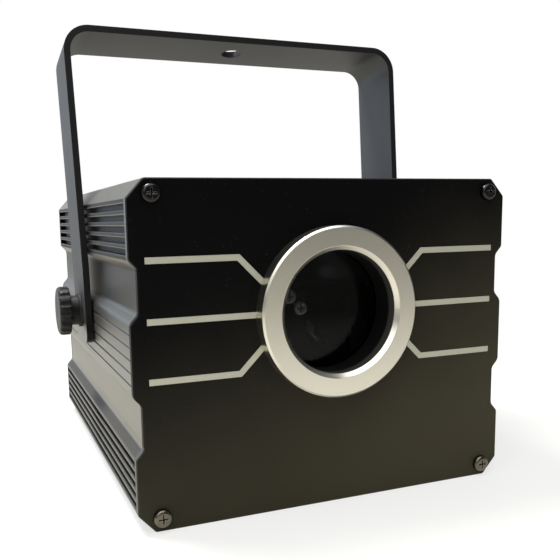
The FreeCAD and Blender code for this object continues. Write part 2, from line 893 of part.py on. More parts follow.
# Post behind each mirror, open at the beam, on a foot
def mirror_holder(index):
    half = holder_width / 2
    front, rear = -holder_thickness, 0
    post = block(-half, half, front, rear, bench_top_z, beam_z + half)
    foot_low = front - (holder_foot_length - holder_thickness) / 2
    foot = block(-half, half, foot_low, foot_low + holder_foot_length, bench_top_z,
                 bench_top_z + holder_foot_height)
    sight = rod(half - combiner_thickness, V(0, front - overrun, beam_z), back,
                holder_thickness + 2 * overrun)
    return turned_to_beam(post.fuse(foot).removeSplitter().cut(sight).Solids[0], laser_x(index))


# Boards, supply and standoffs


# Circuit board with the outline of its main chips on one side
def circuit_board(x, y, z, width, length):
    board = block(x - width / 2, x + width / 2, y - length / 2, y + length / 2, z, z + board_thickness)
    top = z + board_thickness
    chips = []
    for across, along, size in chip_shares:
        chip_x = x + width * (across - sum(share[0] for share in chip_shares) / len(chip_shares))
        chip_y = y + length * (along - sum(share[1] for share in chip_shares) / len(chip_shares))
        half = width * size / 2
        chips.append(block(chip_x - half, chip_x + half, chip_y - half, chip_y + half, top,
                           top + chip_height))
    return board.fuse(chips).removeSplitter()


driver_x = -cavity_half_width + rail_depth + inside_gap + driver_board_width / 2
driver_y = scan_y + can_end + driver_board_length / 2
driver_z = bench_top_z + driver_board_lift
stack_z = driver_z + board_thickness + stack_lift
control_x = floor_half_width - control_board_width / 2
control_y = front_inner_y + spigot_reach + inside_gap + control_board_length / 2
control_z = top_wall + driver_board_lift
supply_x = supply_width / 2 - floor_half_width
supply_y = front_inner_y + spigot_reach + inside_gap + supply_length / 2
display_board_y = rear_inner_y - display_standoff
display_board_z = cavity_top_z - display_top_gap - display_board_height / 2


def driver_board(z):
    return circuit_board(driver_x, driver_y, z, driver_board_width, driver_board_length)


def control_board():
    return circuit_board(control_x, control_y, control_z, control_board_width, control_board_length)


# Hexagonal post from a place along an axis
def standoff(place, axis, length):
    turns = [2 * math.pi * i / standoff_sides for i in range(standoff_sides + 1)]
    corners = [V(math.cos(turn), math.sin(turn), 0) * standoff_radius for turn in turns]
    post = Part.Face(Part.makePolygon(corners)).extrude(up * length)
    post.Placement = FreeCAD.Placement(place, FreeCAD.Rotation(up, axis))
    return post


def standoffs_under(x, y, width, length, low, high):
    return [standoff(V(px, py, low), up, high - low)
            for px, py in four_places(x, y, width / 2 - board_margin, length / 2 - board_margin)]


def board_standoffs():
    posts = []
    for low, high in ((bench_top_z, driver_z), (driver_z + board_thickness, stack_z)):
        posts += standoffs_under(driver_x, driver_y, driver_board_width, driver_board_length, low, high)
    posts += standoffs_under(control_x, control_y, control_board_width, control_board_length, top_wall,
                             control_z)
    for x, z in display_standoff_places():
        posts.append(standoff(V(x, display_board_y, z), back, display_standoff))
    return group(posts)


# Folded metal case with vent slots along its top
def power_supply():
    points = rectangle(supply_x, top_wall + supply_height / 2, supply_width, supply_height,
                       supply_corner_radius)
    case = slab(points, supply_y - supply_length / 2, supply_length)
    top = top_wall + supply_height
    slots = []
    for y in row_of(supply_slot_count, supply_slot_pitch):
        slots.append(block(supply_x - supply_slot_length / 2, supply_x + supply_slot_length / 2,
                           supply_y + y - supply_slot_width / 2, supply_y + y + supply_slot_width / 2,
                           top - supply_slot_depth, top + overrun))
    return case.cut(slots).Solids[0]


# Fan and guard
fan_inner_y = rear_inner_y - fan_depth
fan_hole_places = four_places(fan_x, fan_z, fan_hole_pitch / 2, fan_hole_pitch / 2)


def fan_axle(y):
    return V(fan_x, y, fan_z)


# Two square flanges on a round duct, with a strutted motor mount on the inner side
def fan_frame():
    square = rectangle(fan_x, fan_z, fan_size, fan_size, fan_corner_radius)
    near = slab(square, fan_inner_y, fan_flange)
    far = slab(square, rear_inner_y - fan_flange, fan_flange)
    duct = rod(fan_bore_radius + fan_duct_wall, fan_axle(fan_inner_y), back, fan_depth)
    frame = duct.fuse([near, far])
    frame = frame.cut(rod(fan_bore_radius, fan_axle(fan_inner_y - overrun), back, fan_depth + 2 * overrun))
    for x, z in fan_hole_places:
        start = V(x, fan_inner_y - overrun, z)
        frame = frame.cut(rod(screw_radius + thread_gap, start, back, fan_depth + 2 * overrun))
    mount = rod(fan_hub_radius, fan_axle(fan_inner_y), back, fan_strut_depth)
    bearing = rod(fan_bearing_radius, fan_axle(fan_inner_y), back, fan_depth / 2)
    struts = []
    for i in range(fan_strut_count):
        strut = block(0, fan_bore_radius + fan_duct_wall / 2, 0, fan_strut_depth, -fan_strut_width / 2,
                      fan_strut_width / 2)
        strut.rotate(V(0, 0, 0), back, full_turn * i / fan_strut_count)
        strut.translate(fan_axle(fan_inner_y))
        struts.append(strut)
    frame = frame.fuse([mount, bearing] + struts).removeSplitter()
    bore = rod(fan_shaft_radius + running_gap, fan_axle(fan_inner_y - overrun), back, fan_depth + 2 * overrun)
    return frame.cut(bore).Solids[0]


# Curved section of a blade at a radius, chord turned to its pitch angle
def blade_section(radius, angle):
    lean = math.radians(angle)
    chord = V(0, math.sin(lean), math.cos(lean)) * (blade_chord / 2)
    normal = V(0, math.cos(lean), -math.sin(lean))
    middle = V(radius, 0, 0)
    lower = Part.Arc(middle - chord, middle + normal * blade_camber, middle + chord).toShape()
    top = normal * blade_thickness
    crest = middle + normal * blade_camber + top
    upper = Part.Arc(middle + chord + top, crest, middle - chord + top).toShape()
    sides = [Part.LineSegment(middle + chord, middle + chord + top).toShape(),
             Part.LineSegment(middle - chord + top, middle - chord).toShape()]
    return Part.Wire([lower, sides[0], upper, sides[1]])


rotor_low_y = fan_inner_y + fan_strut_depth + fan_end_gap
rotor_high_y = rear_inner_y - fan_end_gap


# Cup, shaft and twisted blades, trimmed to the tip circle
def fan_rotor():
    depth = rotor_high_y - rotor_low_y
    tail = fan_inner_y + fan_end_gap - rotor_low_y
    inner = fan_hub_radius - fan_hub_wall
    points = [(0, depth, 0), (fan_hub_radius, depth, 0), (fan_hub_radius, 0, 0), (inner, 0, 0),
              (inner, depth - fan_hub_wall, 0), (fan_shaft_radius, depth - fan_hub_wall, 0),
              (fan_shaft_radius, tail, 0), (0, tail, 0)]
    cup = lathe(points, V(0, 0, 0), back)
    root = inner + blade_root_clearance
    tip = fan_bore_radius - fan_tip_gap
    sections = [blade_section(root, blade_root_angle), blade_section(tip + overrun, blade_tip_angle)]
    first = Part.makeLoft(sections, True)
    first.translate(back * (depth / 2 - blade_camber / 2))
    blades = []
    for i in range(blade_count):
        blade = first.copy()
        blade.rotate(V(0, 0, 0), back, full_turn * i / blade_count)
        blades.append(blade)
    sweep = rod(tip, V(0, 0, 0), back, depth)
    core = rod(root, V(0, -overrun, 0), back, depth + 2 * overrun)
    trimmed = [blade.common(sweep).cut(core) for blade in blades]
    rotor = cup.fuse(trimmed).removeSplitter()
    rotor.translate(fan_axle(rotor_low_y))
    return rotor.Solids[0]


# Wire guard: rings welded on crossed bars that end in screw eyes
def fan_guard():
    bar_y = rear_face_y + guard_wire_radius
    ring_y = bar_y + 2 * guard_wire_radius - guard_weld
    rings = []
    for i in range(guard_ring_count):
        middle = guard_first_ring + guard_ring_step * i
        turns = [2 * math.pi * k / guard_wire_sides for k in range(guard_wire_sides)]
        section = [(middle + guard_wire_radius * math.cos(turn), guard_wire_radius * math.sin(turn), 0)
                   for turn in turns]
        rings.append(lathe(section, fan_axle(ring_y), back))
    reach = fan_hole_pitch / 2 * math.sqrt(2) - guard_eye_radius + guard_weld
    bars = []
    eyes = []
    for x, z in fan_hole_places:
        towards = V(x - fan_x, 0, z - fan_z).normalize()
        bars.append(rod(guard_wire_radius, fan_axle(bar_y), towards, reach))
        eye = rod(guard_eye_radius, V(x, rear_face_y, z), back, 2 * guard_wire_radius)
        hole = rod(screw_radius + hole_gap, V(x, rear_face_y - overrun, z), back,
                   2 * (guard_wire_radius + overrun))
        eyes.append(eye.cut(hole))
    return bars[0].fuse(bars[1:] + rings + eyes).Solids[0]


def fan_screws():
    seat = rear_face_y + 2 * guard_wire_radius
    return group([pan_screw(V(x, seat, z), back * -1, screw_radius, screw_head_radius, screw_head_height,
                            screw_length) for x, z in fan_hole_places])


# Rear panel and what it carries
def rear_panel():
    plate = end_panel(rear_face_y, rear_inner_y)
    start = rear_inner_y - overrun
    depth = panel_thickness + 2 * overrun
    cuts = [rod(fan_bore_radius, fan_axle(start), back, depth)]
    for x, z in fan_hole_places:
        cuts.append(rod(screw_radius + hole_gap, V(x, start, z), back, depth))
    for x in (dmx_in_x, dmx_out_x):
        cuts.append(rod(socket_body_radius + seat_gap, V(x, start, row_z), back, depth))
        for sx, sz in socket_screw_places(x):
            cuts.append(rod(socket_screw_radius + thread_gap, V(sx, start, sz), back, depth))
    gap = 2 * seat_gap
    openings = [rectangle(inlet_x, row_z, inlet_body_width + gap, inlet_body_height + gap, 0),
                rectangle(switch_x, row_z, switch_body_width + gap, switch_body_height + gap, 0),
                rectangle(display_x, display_z, display_window_width + gap, display_window_height + gap,
                          display_window_radius)]
    cuts += [slab(points, start, depth) for points in openings]
    for i in range(button_count):
        cuts.append(rod(button_radius + seat_gap, V(button_x(i), start, button_z), back, depth))
    return plate.cut(cuts).Solids[0]


# Cavity outline with the two cut corners of an earthed inlet
def inlet_cavity_points():
    w, h = inlet_cavity_width / 2, inlet_cavity_height / 2
    cut = inlet_cavity_chamfer
    half = [(w - cut, h, 0), (w, h - cut, 0), (w, -h, inlet_cavity_radius)]
    points = half + [(-x, z, radius) for x, z, radius in reversed(half)]
    return [(x + inlet_x, z + inlet_cavity_z, radius) for x, z, radius in points]


def power_inlet():
    bezel = slab(rectangle(inlet_x, row_z, inlet_bezel_width, inlet_bezel_height, inlet_bezel_radius),
                 rear_face_y, inlet_bezel_thickness)
    body = slab(rectangle(inlet_x, row_z, inlet_body_width, inlet_body_height, 0),
                rear_face_y - inlet_body_depth, inlet_body_depth)
    whole = bezel.fuse(body).removeSplitter()
    cavity = slab(inlet_cavity_points(), inlet_face_y - inlet_cavity_depth, inlet_cavity_depth + overrun)
    gap = 2 * seat_gap
    tray = slab(rectangle(inlet_x, drawer_z, drawer_width + gap, drawer_height + gap, 0),
                inlet_face_y - drawer_depth - seat_gap, drawer_depth + seat_gap + overrun)
    return whole.cut([cavity, tray]).Solids[0]


# Two line blades and the raised earth blade
def inlet_pins():
    floor = inlet_face_y - inlet_cavity_depth
    places = [(-pin_spacing, -pin_rise), (pin_spacing, -pin_rise), (0, pin_rise)]
    pins = []
    for x, z in places:
        points = rectangle(inlet_x + x, inlet_cavity_z + z, pin_thickness, pin_width, 0)
        pins.append(slab(points, floor, pin_length))
    return group(pins)


# Tray with a cradle for the fuse and a finger pull on its face
def fuse_drawer():
    low_y = inlet_face_y - drawer_depth
    tray = slab(rectangle(inlet_x, drawer_z, drawer_width, drawer_height, 0), low_y, drawer_depth)
    pull = slab(rectangle(inlet_x, drawer_z, drawer_width / 2, drawer_pull_height, 0), inlet_face_y,
                drawer_face_lip)
    cradle = block(inlet_x - fuse_length / 2 - seat_gap, inlet_x + fuse_length / 2 + seat_gap,
                   low_y + drawer_wall, low_y + drawer_wall + 2 * fuse_radius + 2 * seat_gap,
                   drawer_z - fuse_radius, drawer_z + drawer_height)
    return tray.fuse(pull).removeSplitter().cut(cradle).Solids[0]


def fuse():
    y = inlet_face_y - drawer_depth + drawer_wall + seat_gap + fuse_radius
    return rod(fuse_radius, V(inlet_x - fuse_length / 2, y, drawer_z), right, fuse_length)


rocker_pivot = V(switch_x, rear_face_y + switch_bezel_thickness - rocker_pivot_depth, row_z)


def switch_body():
    bezel = slab(rectangle(switch_x, row_z, switch_bezel_width, switch_bezel_height, switch_bezel_radius),
                 rear_face_y, switch_bezel_thickness)
    body = slab(rectangle(switch_x, row_z, switch_body_width, switch_body_height, 0),
                rear_face_y - switch_body_depth, switch_body_depth)
    whole = bezel.fuse(body).removeSplitter()
    width = rocker_width + 2 * rocker_gap
    start = rocker_pivot - right * (width / 2)
    well = rod(rocker_radius + rocker_gap, start, right, width)
    pin_start = rocker_pivot - right * (rocker_width / 2 + rocker_pin_length + rocker_gap)
    pin_bore = rod(rocker_pin_radius + running_gap, pin_start, right,
                   rocker_width + 2 * (rocker_pin_length + rocker_gap))
    return whole.cut([well, pin_bore]).Solids[0]


# Rocker with arc ends about its pivot and a shallow valley, tipped to its off side
def switch_rocker():
    lift = math.radians(rocker_end_angle)
    far = rocker_radius * math.cos(lift)
    high = rocker_radius * math.sin(lift)
    drop = math.asin(rocker_floor / rocker_radius)
    low_far = rocker_radius * math.cos(drop)
    right_end = Part.Arc(V(0, high, far), V(0, 0, rocker_radius), V(0, -rocker_floor, low_far)).toShape()
    left_end = Part.Arc(V(0, -rocker_floor, -low_far), V(0, 0, -rocker_radius), V(0, high, -far)).toShape()
    floor = Part.LineSegment(V(0, -rocker_floor, low_far), V(0, -rocker_floor, -low_far)).toShape()
    valley = Part.Arc(V(0, high, -far), V(0, rocker_valley, 0), V(0, high, far)).toShape()
    paddle = Part.Face(Part.Wire([right_end, floor, left_end, valley])).extrude(right * rocker_width)
    paddle.translate(right * (-rocker_width / 2))
    pin_reach = rocker_width / 2 + rocker_pin_length
    pin = rod(rocker_pin_radius, right * -pin_reach, right, 2 * pin_reach)
    rocker = paddle.fuse(pin).removeSplitter()
    rocker.rotate(V(0, 0, 0), right, -rocker_lean)
    rocker.translate(rocker_pivot)
    return rocker.Solids[0]


# Control line sockets
def socket_screw_places(x):
    return [(x - socket_screw_x, row_z + socket_screw_z), (x + socket_screw_x, row_z - socket_screw_z)]


socket_face = socket_flange_thickness + socket_lip_height


# Flange with a round collar outside and a turned body behind; along is counted from the panel's face
def socket_shell(x):
    flange = slab(rectangle(x, row_z, socket_flange_width, socket_flange_height, socket_flange_radius),
                  rear_face_y, socket_flange_thickness)
    points = [(0, -socket_body_depth, 0), (socket_body_radius, -socket_body_depth, 0),
              (socket_body_radius, 0, 0), (socket_lip_radius, socket_flange_thickness, 0),
              (socket_lip_radius, socket_face, 0), (0, socket_face, 0)]
    shell = flange.fuse(lathe(points, V(x, rear_face_y, row_z), back)).removeSplitter()
    floor = V(x, rear_face_y + socket_face - socket_bore_depth, row_z)
    cuts = [rod(socket_bore_radius, floor, back, socket_bore_depth + overrun)]
    for sx, sz in socket_screw_places(x):
        cuts.append(rod(socket_screw_radius + thread_gap, V(sx, rear_face_y - overrun, sz), back,
                        socket_flange_thickness + 2 * overrun))
    return shell.cut(cuts)


def contact_places(x):
    places = []
    for i in (-1, 0, 1):
        angle = math.radians(contact_spread * i)
        places.append((x + contact_circle * math.sin(angle), row_z - contact_circle * math.cos(angle)))
    return places


def dmx_in_socket():
    return socket_shell(dmx_in_x).Solids[0]


def dmx_in_pins():
    floor = rear_face_y + socket_face - socket_bore_depth
    point = contact_radius / 2
    points = [(0, 0, 0), (contact_radius, 0, 0), (contact_radius, contact_length - point, 0),
              (point, contact_length, 0), (0, contact_length, 0)]
    return group([lathe(points, V(x, floor, z), back) for x, z in contact_places(dmx_in_x)])


latch_low_z = row_z + socket_bore_radius - insert_gap


def dmx_out_socket():
    shell = socket_shell(dmx_out_x)
    half = latch_width / 2 + seat_gap
    face_y = rear_face_y + socket_face
    slot = block(dmx_out_x - half, dmx_out_x + half, face_y - latch_depth - seat_gap, face_y + overrun,
                 row_z, latch_low_z + latch_height + seat_gap)
    return shell.cut(slot).Solids[0]


# Insert with three contact holes, inside the outlet's bore
def dmx_out_insert():
    floor = rear_face_y + socket_face - socket_bore_depth
    core = rod(socket_bore_radius - insert_gap, V(dmx_out_x, floor, row_z), back, socket_bore_depth)
    face_y = rear_face_y + socket_face
    half = latch_width / 2 + seat_gap
    cuts = [rod(insert_hole_radius, V(x, face_y - insert_hole_depth, z), back, insert_hole_depth + overrun)
            for x, z in contact_places(dmx_out_x)]
    cuts.append(block(dmx_out_x - half, dmx_out_x + half, face_y - latch_depth - seat_gap, face_y + overrun,
                      latch_low_z - latch_travel - seat_gap, latch_low_z + latch_height + overrun))
    return core.cut(cuts).Solids[0]


# Press tab above the insert, standing a little out of the collar
def dmx_out_latch():
    face_y = rear_face_y + socket_face
    points = rectangle(dmx_out_x, latch_low_z + latch_height / 2, latch_width, latch_height, 0)
    return slab(points, face_y - latch_depth, latch_depth + latch_reach)


def dmx_screws():
    seat = rear_face_y + socket_flange_thickness
    places = socket_screw_places(dmx_in_x) + socket_screw_places(dmx_out_x)
    return group([pan_screw(V(x, seat, z), back * -1, socket_screw_radius, socket_screw_head_radius,
                            socket_screw_head_height, socket_screw_length) for x, z in places])


# Display and buttons
def button_x(index):
    return display_x + row_of(button_count, button_pitch)[index]


def display_standoff_places():
    return four_places(display_x, display_board_z, display_board_width / 2 - board_margin,
                       display_board_height / 2 - board_margin)


tact_height = display_standoff - button_flange_thickness - running_gap - button_travel - running_gap


# Board with a small switch under each button
def display_board():
    board = slab(rectangle(display_x, display_board_z, display_board_width, display_board_height, 0),
                 display_board_y - board_thickness, board_thickness)
    tacts = [slab(rectangle(button_x(i), button_z, tact_width, tact_width, 0), display_board_y, tact_height)
             for i in range(button_count)]
    return board.fuse(tacts).removeSplitter()


def display_digits():
    depth = display_standoff - display_window_rim_thickness
    return slab(rectangle(display_x, display_z, digit_block_width, digit_block_height, 0),
                display_board_y, depth)


# Window with a rim that seats behind the panel
def display_window():
    rim = slab(rectangle(display_x, display_z, display_window_width + 2 * display_window_rim,
                         display_window_height + 2 * display_window_rim, display_window_radius),
               rear_inner_y - display_window_rim_thickness, display_window_rim_thickness)
    pane = slab(rectangle(display_x, display_z, display_window_width, display_window_height,
                          display_window_radius),
                rear_inner_y - display_window_rim_thickness, panel_thickness + display_window_rim_thickness)
    return rim.fuse(pane).removeSplitter().Solids[0]


# Cap with a flange that stops it behind the panel; along is counted from the panel's inner face
def menu_button(index):
    flange = button_radius + button_flange_extra
    low = -running_gap - button_flange_thickness
    tip = panel_thickness + button_protrusion
    points = [(0, low, 0), (flange, low, 0), (flange, -running_gap, 0), (button_radius, -running_gap, 0),
              (button_radius, tip - button_edge_break, 0), (button_radius - button_edge_break, tip, 0),
              (0, tip, 0)]
    return lathe(points, V(button_x(index), rear_inner_y, button_z), back)


def pieces():
    shapes = {
        "housing_extrusion": housing_extrusion(),
        "front_panel": front_panel(),
        "front_screws": corner_screws(front_face_y, back),
        "aperture_ring": aperture_ring(),
        "ring_nut": ring_nut(),
        "window_glass": window_glass(),
        "window_gasket": window_gasket(),
        "rear_panel": rear_panel(),
        "rear_screws": corner_screws(rear_face_y, back * -1),
        "pivot_inserts": on_both_sides(pivot_insert),
        "pivot_washers": on_both_sides(pivot_washer),
        "bracket": bracket(),
        "optical_bench": optical_bench(),
        "galvo_block": galvo_block(),
        "galvo_motor_x": galvo_motor(scan_centre_x, back),
        "galvo_motor_y": galvo_motor(scan_centre_y, right * -1),
        "galvo_shaft_x": galvo_shaft(scan_centre_x, back),
        "galvo_shaft_y": galvo_shaft(scan_centre_y, right * -1),
        "galvo_mirror_x": galvo_mirror_x(),
        "galvo_mirror_y": galvo_mirror_y(),
        "galvo_screws": galvo_screws(),
        "combiner_mirrors": group([combiner_mirror(i) for i in range(laser_count)]),
        "mirror_holders": group([mirror_holder(i) for i in range(laser_count)]),
        "galvo_driver_board": driver_board(driver_z),
        "laser_driver_board": driver_board(stack_z),
        "control_board": control_board(),
        "power_supply": power_supply(),
        "board_standoffs": board_standoffs(),
        "fan_frame": fan_frame(),
        "fan_rotor": fan_rotor(),
        "fan_guard": fan_guard(),
        "fan_screws": fan_screws(),
        "power_inlet": power_inlet(),
        "inlet_pins": inlet_pins(),
        "fuse_drawer": fuse_drawer(),
        "fuse": fuse(),
        "switch_body": switch_body(),
        "switch_rocker": switch_rocker(),
        "dmx_in_socket": dmx_in_socket(),
        "dmx_in_pins": dmx_in_pins(),
        "dmx_out_socket": dmx_out_socket(),
        "dmx_out_insert": dmx_out_insert(),
        "dmx_out_latch": dmx_out_latch(),
        "dmx_screws": dmx_screws(),
        "display_board": display_board(),
        "display_digits": display_digits(),
        "display_window": display_window(),
    }
    for side, name in ((-1, "left"), (1, "right")):
        shapes["knob_" + name] = knob(side)
        shapes["knob_" + name + "_stud"] = knob_stud(side)
        shapes["knob_" + name + "_washer"] = knob_washer(side)
    for index, colour in enumerate(("red", "green", "blue")):
        shapes[colour + "_laser"] = laser(index)
    for index in range(button_count):
        shapes["menu_button_" + str(index + 1)] = menu_button(index)
    return shapes


os.makedirs("parts", exist_ok=True)
for node, shape in pieces().items():
    shape.exportStep("parts/" + node + ".step")
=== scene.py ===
import json
import math

import bmesh
import bpy
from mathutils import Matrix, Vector


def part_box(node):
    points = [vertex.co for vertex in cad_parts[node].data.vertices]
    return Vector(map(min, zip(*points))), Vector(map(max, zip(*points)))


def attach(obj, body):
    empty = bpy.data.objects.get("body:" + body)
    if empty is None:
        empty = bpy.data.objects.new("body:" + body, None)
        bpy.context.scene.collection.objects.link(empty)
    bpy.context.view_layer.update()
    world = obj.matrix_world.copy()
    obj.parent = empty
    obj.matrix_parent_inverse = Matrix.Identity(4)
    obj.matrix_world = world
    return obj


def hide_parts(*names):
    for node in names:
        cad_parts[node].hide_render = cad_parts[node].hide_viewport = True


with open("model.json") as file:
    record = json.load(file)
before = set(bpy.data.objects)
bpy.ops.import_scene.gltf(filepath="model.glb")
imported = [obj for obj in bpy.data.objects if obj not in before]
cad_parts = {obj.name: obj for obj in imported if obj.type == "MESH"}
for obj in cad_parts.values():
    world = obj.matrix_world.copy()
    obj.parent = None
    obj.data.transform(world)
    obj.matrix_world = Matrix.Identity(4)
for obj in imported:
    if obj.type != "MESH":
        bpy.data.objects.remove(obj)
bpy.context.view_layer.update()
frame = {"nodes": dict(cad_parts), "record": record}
nodes = frame["nodes"]
scene = bpy.context.scene
mm = 0.001
print("frame loaded:", len(nodes), "nodes")


# set a socket's value, or link it
def plug(tree, spot, value):
    if isinstance(value, Wire):
        tree.links.new(value.socket, spot)
    else:
        spot.default_value = value


# a tone with its alpha, unless nodes work it out
def colour(value):
    if isinstance(value, Wire):
        return value
    return (*value, 1.0)


# a start value, and layers by their weights
def mixed(weights, *layers):
    total = weights[0]
    for weight, layer in zip(weights[1:], layers):
        total = total + layer * weight
    return total


# specular_ior_level becomes Specular IOR Level
def socketName(key):
    return key.replace("_", " ").title().replace("Ior", "IOR")


# a shader value that takes part in sums like a number
class Wire:
    def __init__(self, tree, socket):
        self.tree = tree
        self.socket = socket

    def sum(self, operation, first, second):
        node = self.tree.nodes.new("ShaderNodeMath")
        node.operation = operation
        plug(self.tree, node.inputs[0], first)
        plug(self.tree, node.inputs[1], second)
        return Wire(self.tree, node.outputs[0])

    def __add__(self, other):
        return self.sum("ADD", self, other)

    def __radd__(self, other):
        return self.sum("ADD", other, self)

    def __sub__(self, other):
        return self.sum("SUBTRACT", self, other)

    def __rsub__(self, other):
        return self.sum("SUBTRACT", other, self)

    def __mul__(self, other):
        return self.sum("MULTIPLY", self, other)

    def __rmul__(self, other):
        return self.sum("MULTIPLY", other, self)

    def __truediv__(self, other):
        return self.sum("DIVIDE", self, other)

    def __pow__(self, other):
        return self.sum("POWER", self, other)

    def __gt__(self, other):
        return self.sum("GREATER_THAN", self, other)

    def __lt__(self, other):
        return self.sum("LESS_THAN", self, other)

    def larger(self, other):
        return self.sum("MAXIMUM", self, other)

    def wrapped(self, step):
        return self.sum("MODULO", self, step)


# bend: how far an edge turns to count as worn; facing: how squarely a face looks along an axis
masks = {"samples": 6, "bend": (0.02, 0.22), "facing": (0.3, 0.6)}


# one material and the helpers that the finishes share, with their sizes in millimetres
class Finish:
    def __init__(self, name, **fixed):
        self.material = bpy.data.materials.new(name)
        self.material.use_nodes = True
        self.tree = self.material.node_tree
        self.tree.nodes.clear()
        self.output = self.tree.nodes.new("ShaderNodeOutputMaterial")
        self.shader = self.surface(**fixed)
        self.show(self.shader)

    # any node: its settings first, then its sockets
    def node(self, kind, settings=None, inputs=None, out=0):
        node = self.tree.nodes.new(kind)
        for key, value in (settings or {}).items():
            setattr(node, key, value)
        for key, value in (inputs or {}).items():
            plug(self.tree, node.inputs[key], value)
        return Wire(self.tree, node.outputs[out])

    def surface(self, **fixed):
        sockets = {socketName(key): value for key, value in fixed.items()}
        return self.node("ShaderNodeBsdfPrincipled", inputs=sockets)

    def show(self, shader):
        plug(self.tree, self.output.inputs["Surface"], shader)

    def feed(self, **maps):
        for key, value in maps.items():
            plug(self.tree, self.shader.socket.node.inputs[socketName(key)], value)

    def split(self, vector):
        parts = self.node("ShaderNodeSeparateXYZ", inputs={0: vector}).socket.node
        return [Wire(self.tree, socket) for socket in parts.outputs]

    # the piece's own coordinates in metres, so that a pattern rides with it
    def place(self):
        return self.node("ShaderNodeTexCoord", out="Object")

    def axes(self):
        return self.split(self.place())

    # which way the surface faces, in the piece's own axes
    def facing(self):
        return self.split(self.node("ShaderNodeTexCoord", out="Normal"))

    def noise(self, spot, detail):
        return self.node("ShaderNodeTexNoise", inputs={"Vector": spot, "Scale": 1.0, "Detail": detail})

    # noise of about this size, drawn out along an axis where stretch is above 1
    def grain(self, size, stretch=(1, 1, 1), detail=2.0):
        scale = [1 / (size * mm * along) for along in stretch]
        spot = self.node("ShaderNodeMapping", inputs={"Vector": self.place(), "Scale": scale})
        return self.noise(spot, detail)

    # noise along one worked-out value, such as a radius
    def lines(self, along, size, detail=3.0):
        spot = self.node("ShaderNodeCombineXYZ", inputs={"X": along / (size * mm)})
        return self.noise(spot, detail)

    # the places where a noise of this size is high
    def patches(self, size, low, high, detail=0.0):
        return self.step(self.grain(size, detail=detail), low, high)

    def step(self, value, low, high):
        inputs = {"Value": value, "From Min": low, "From Max": high}
        return self.node("ShaderNodeMapRange", {"interpolation_type": "SMOOTHSTEP"}, inputs)

    def blend(self, mask, first, second):
        inputs = {0: mask, 6: colour(first), 7: colour(second)}
        return self.node("ShaderNodeMix", {"data_type": "RGBA"}, inputs, out=2)

    def shaded(self, tone, amount):
        grey = self.node("ShaderNodeCombineColor", inputs={0: amount, 1: amount, 2: amount})
        inputs = {0: 1.0, 6: colour(tone), 7: grey}
        return self.node("ShaderNodeMix", {"data_type": "RGBA", "blend_type": "MULTIPLY"}, inputs, out=2)

    # small rounding of every edge, and a mask of those edges
    def rounded(self, radius):
        return self.node("ShaderNodeBevel", {"samples": masks["samples"]}, {"Radius": radius * mm})

    def worn(self, radius):
        true = self.node("ShaderNodeNewGeometry", out="Normal")
        soft = self.rounded(radius)
        settings = {"operation": "DOT_PRODUCT"}
        along = self.node("ShaderNodeVectorMath", settings, {0: true, 1: soft}, out="Value")
        return self.step(1 - along, *masks["bend"])

    # how deep a place lies between its own piece's walls, 0 open to 1 deep
    def hollow(self, reach):
        settings = {"samples": masks["samples"], "only_local": True}
        return 1 - self.node("ShaderNodeAmbientOcclusion", settings, {"Distance": reach * mm}, out="AO")

    def relief(self, height, depth, edge):
        inputs = {"Height": height, "Distance": depth * mm, "Strength": 1.0, "Normal": self.rounded(edge)}
        self.feed(normal=self.node("ShaderNodeBump", inputs=inputs))


# Finishes
# shade and rough are a start value and weights, rub a worn edge's width, relief a bump's depth and edge rounding

# footTop to roof are heights up the side where a painted tone starts or ends
# the tones by height and facing are painted light and shade: dark high up, light low down, darker foot, slope
# and grooves
tube = {"upper": (0.059, 0.0585, 0.058), "lower": (0.335, 0.325, 0.288), "slopeShade": (0.116, 0.108, 0.097),
        "foot": (0.17, 0.166, 0.153), "edge": (0.42, 0.42, 0.40), "grooveShade": (0.02, 0.02, 0.021),
        "metallic": 0.9, "shine": (0.62, 0.62, 0.62),
        "footTop": (31 * mm, 33 * mm), "fade": (50 * mm, 100 * mm), "slopeTop": 50 * mm, "grooveTop": 60 * mm,
        "underside": 85 * mm, "fins": 100 * mm, "roof": 122 * mm, "down": (0.3, 0.7),
        "streak": (0.7, (1, 400, 1), 3.0), "cloud": (30, (1, 3, 1)), "fine": (0.12, (1, 3, 1)),
        "shade": (0.78, 0.3, 0.14), "finPaintedShade": 0.2, "upwardLight": 0.2, "roofLight": (0.3, 0.8),
        "hollow": 3.5, "deep": (0.15, 0.6), "sunk": (0.55, 0.4), "rub": 0.4, "wear": (0.35, 0.6),
        "rough": (0.26, 0.1, 0.06), "slopeRough": 0.25, "finRough": 0.14, "fineRelief": 0.6,
        "relief": (0.012, 0.35)}


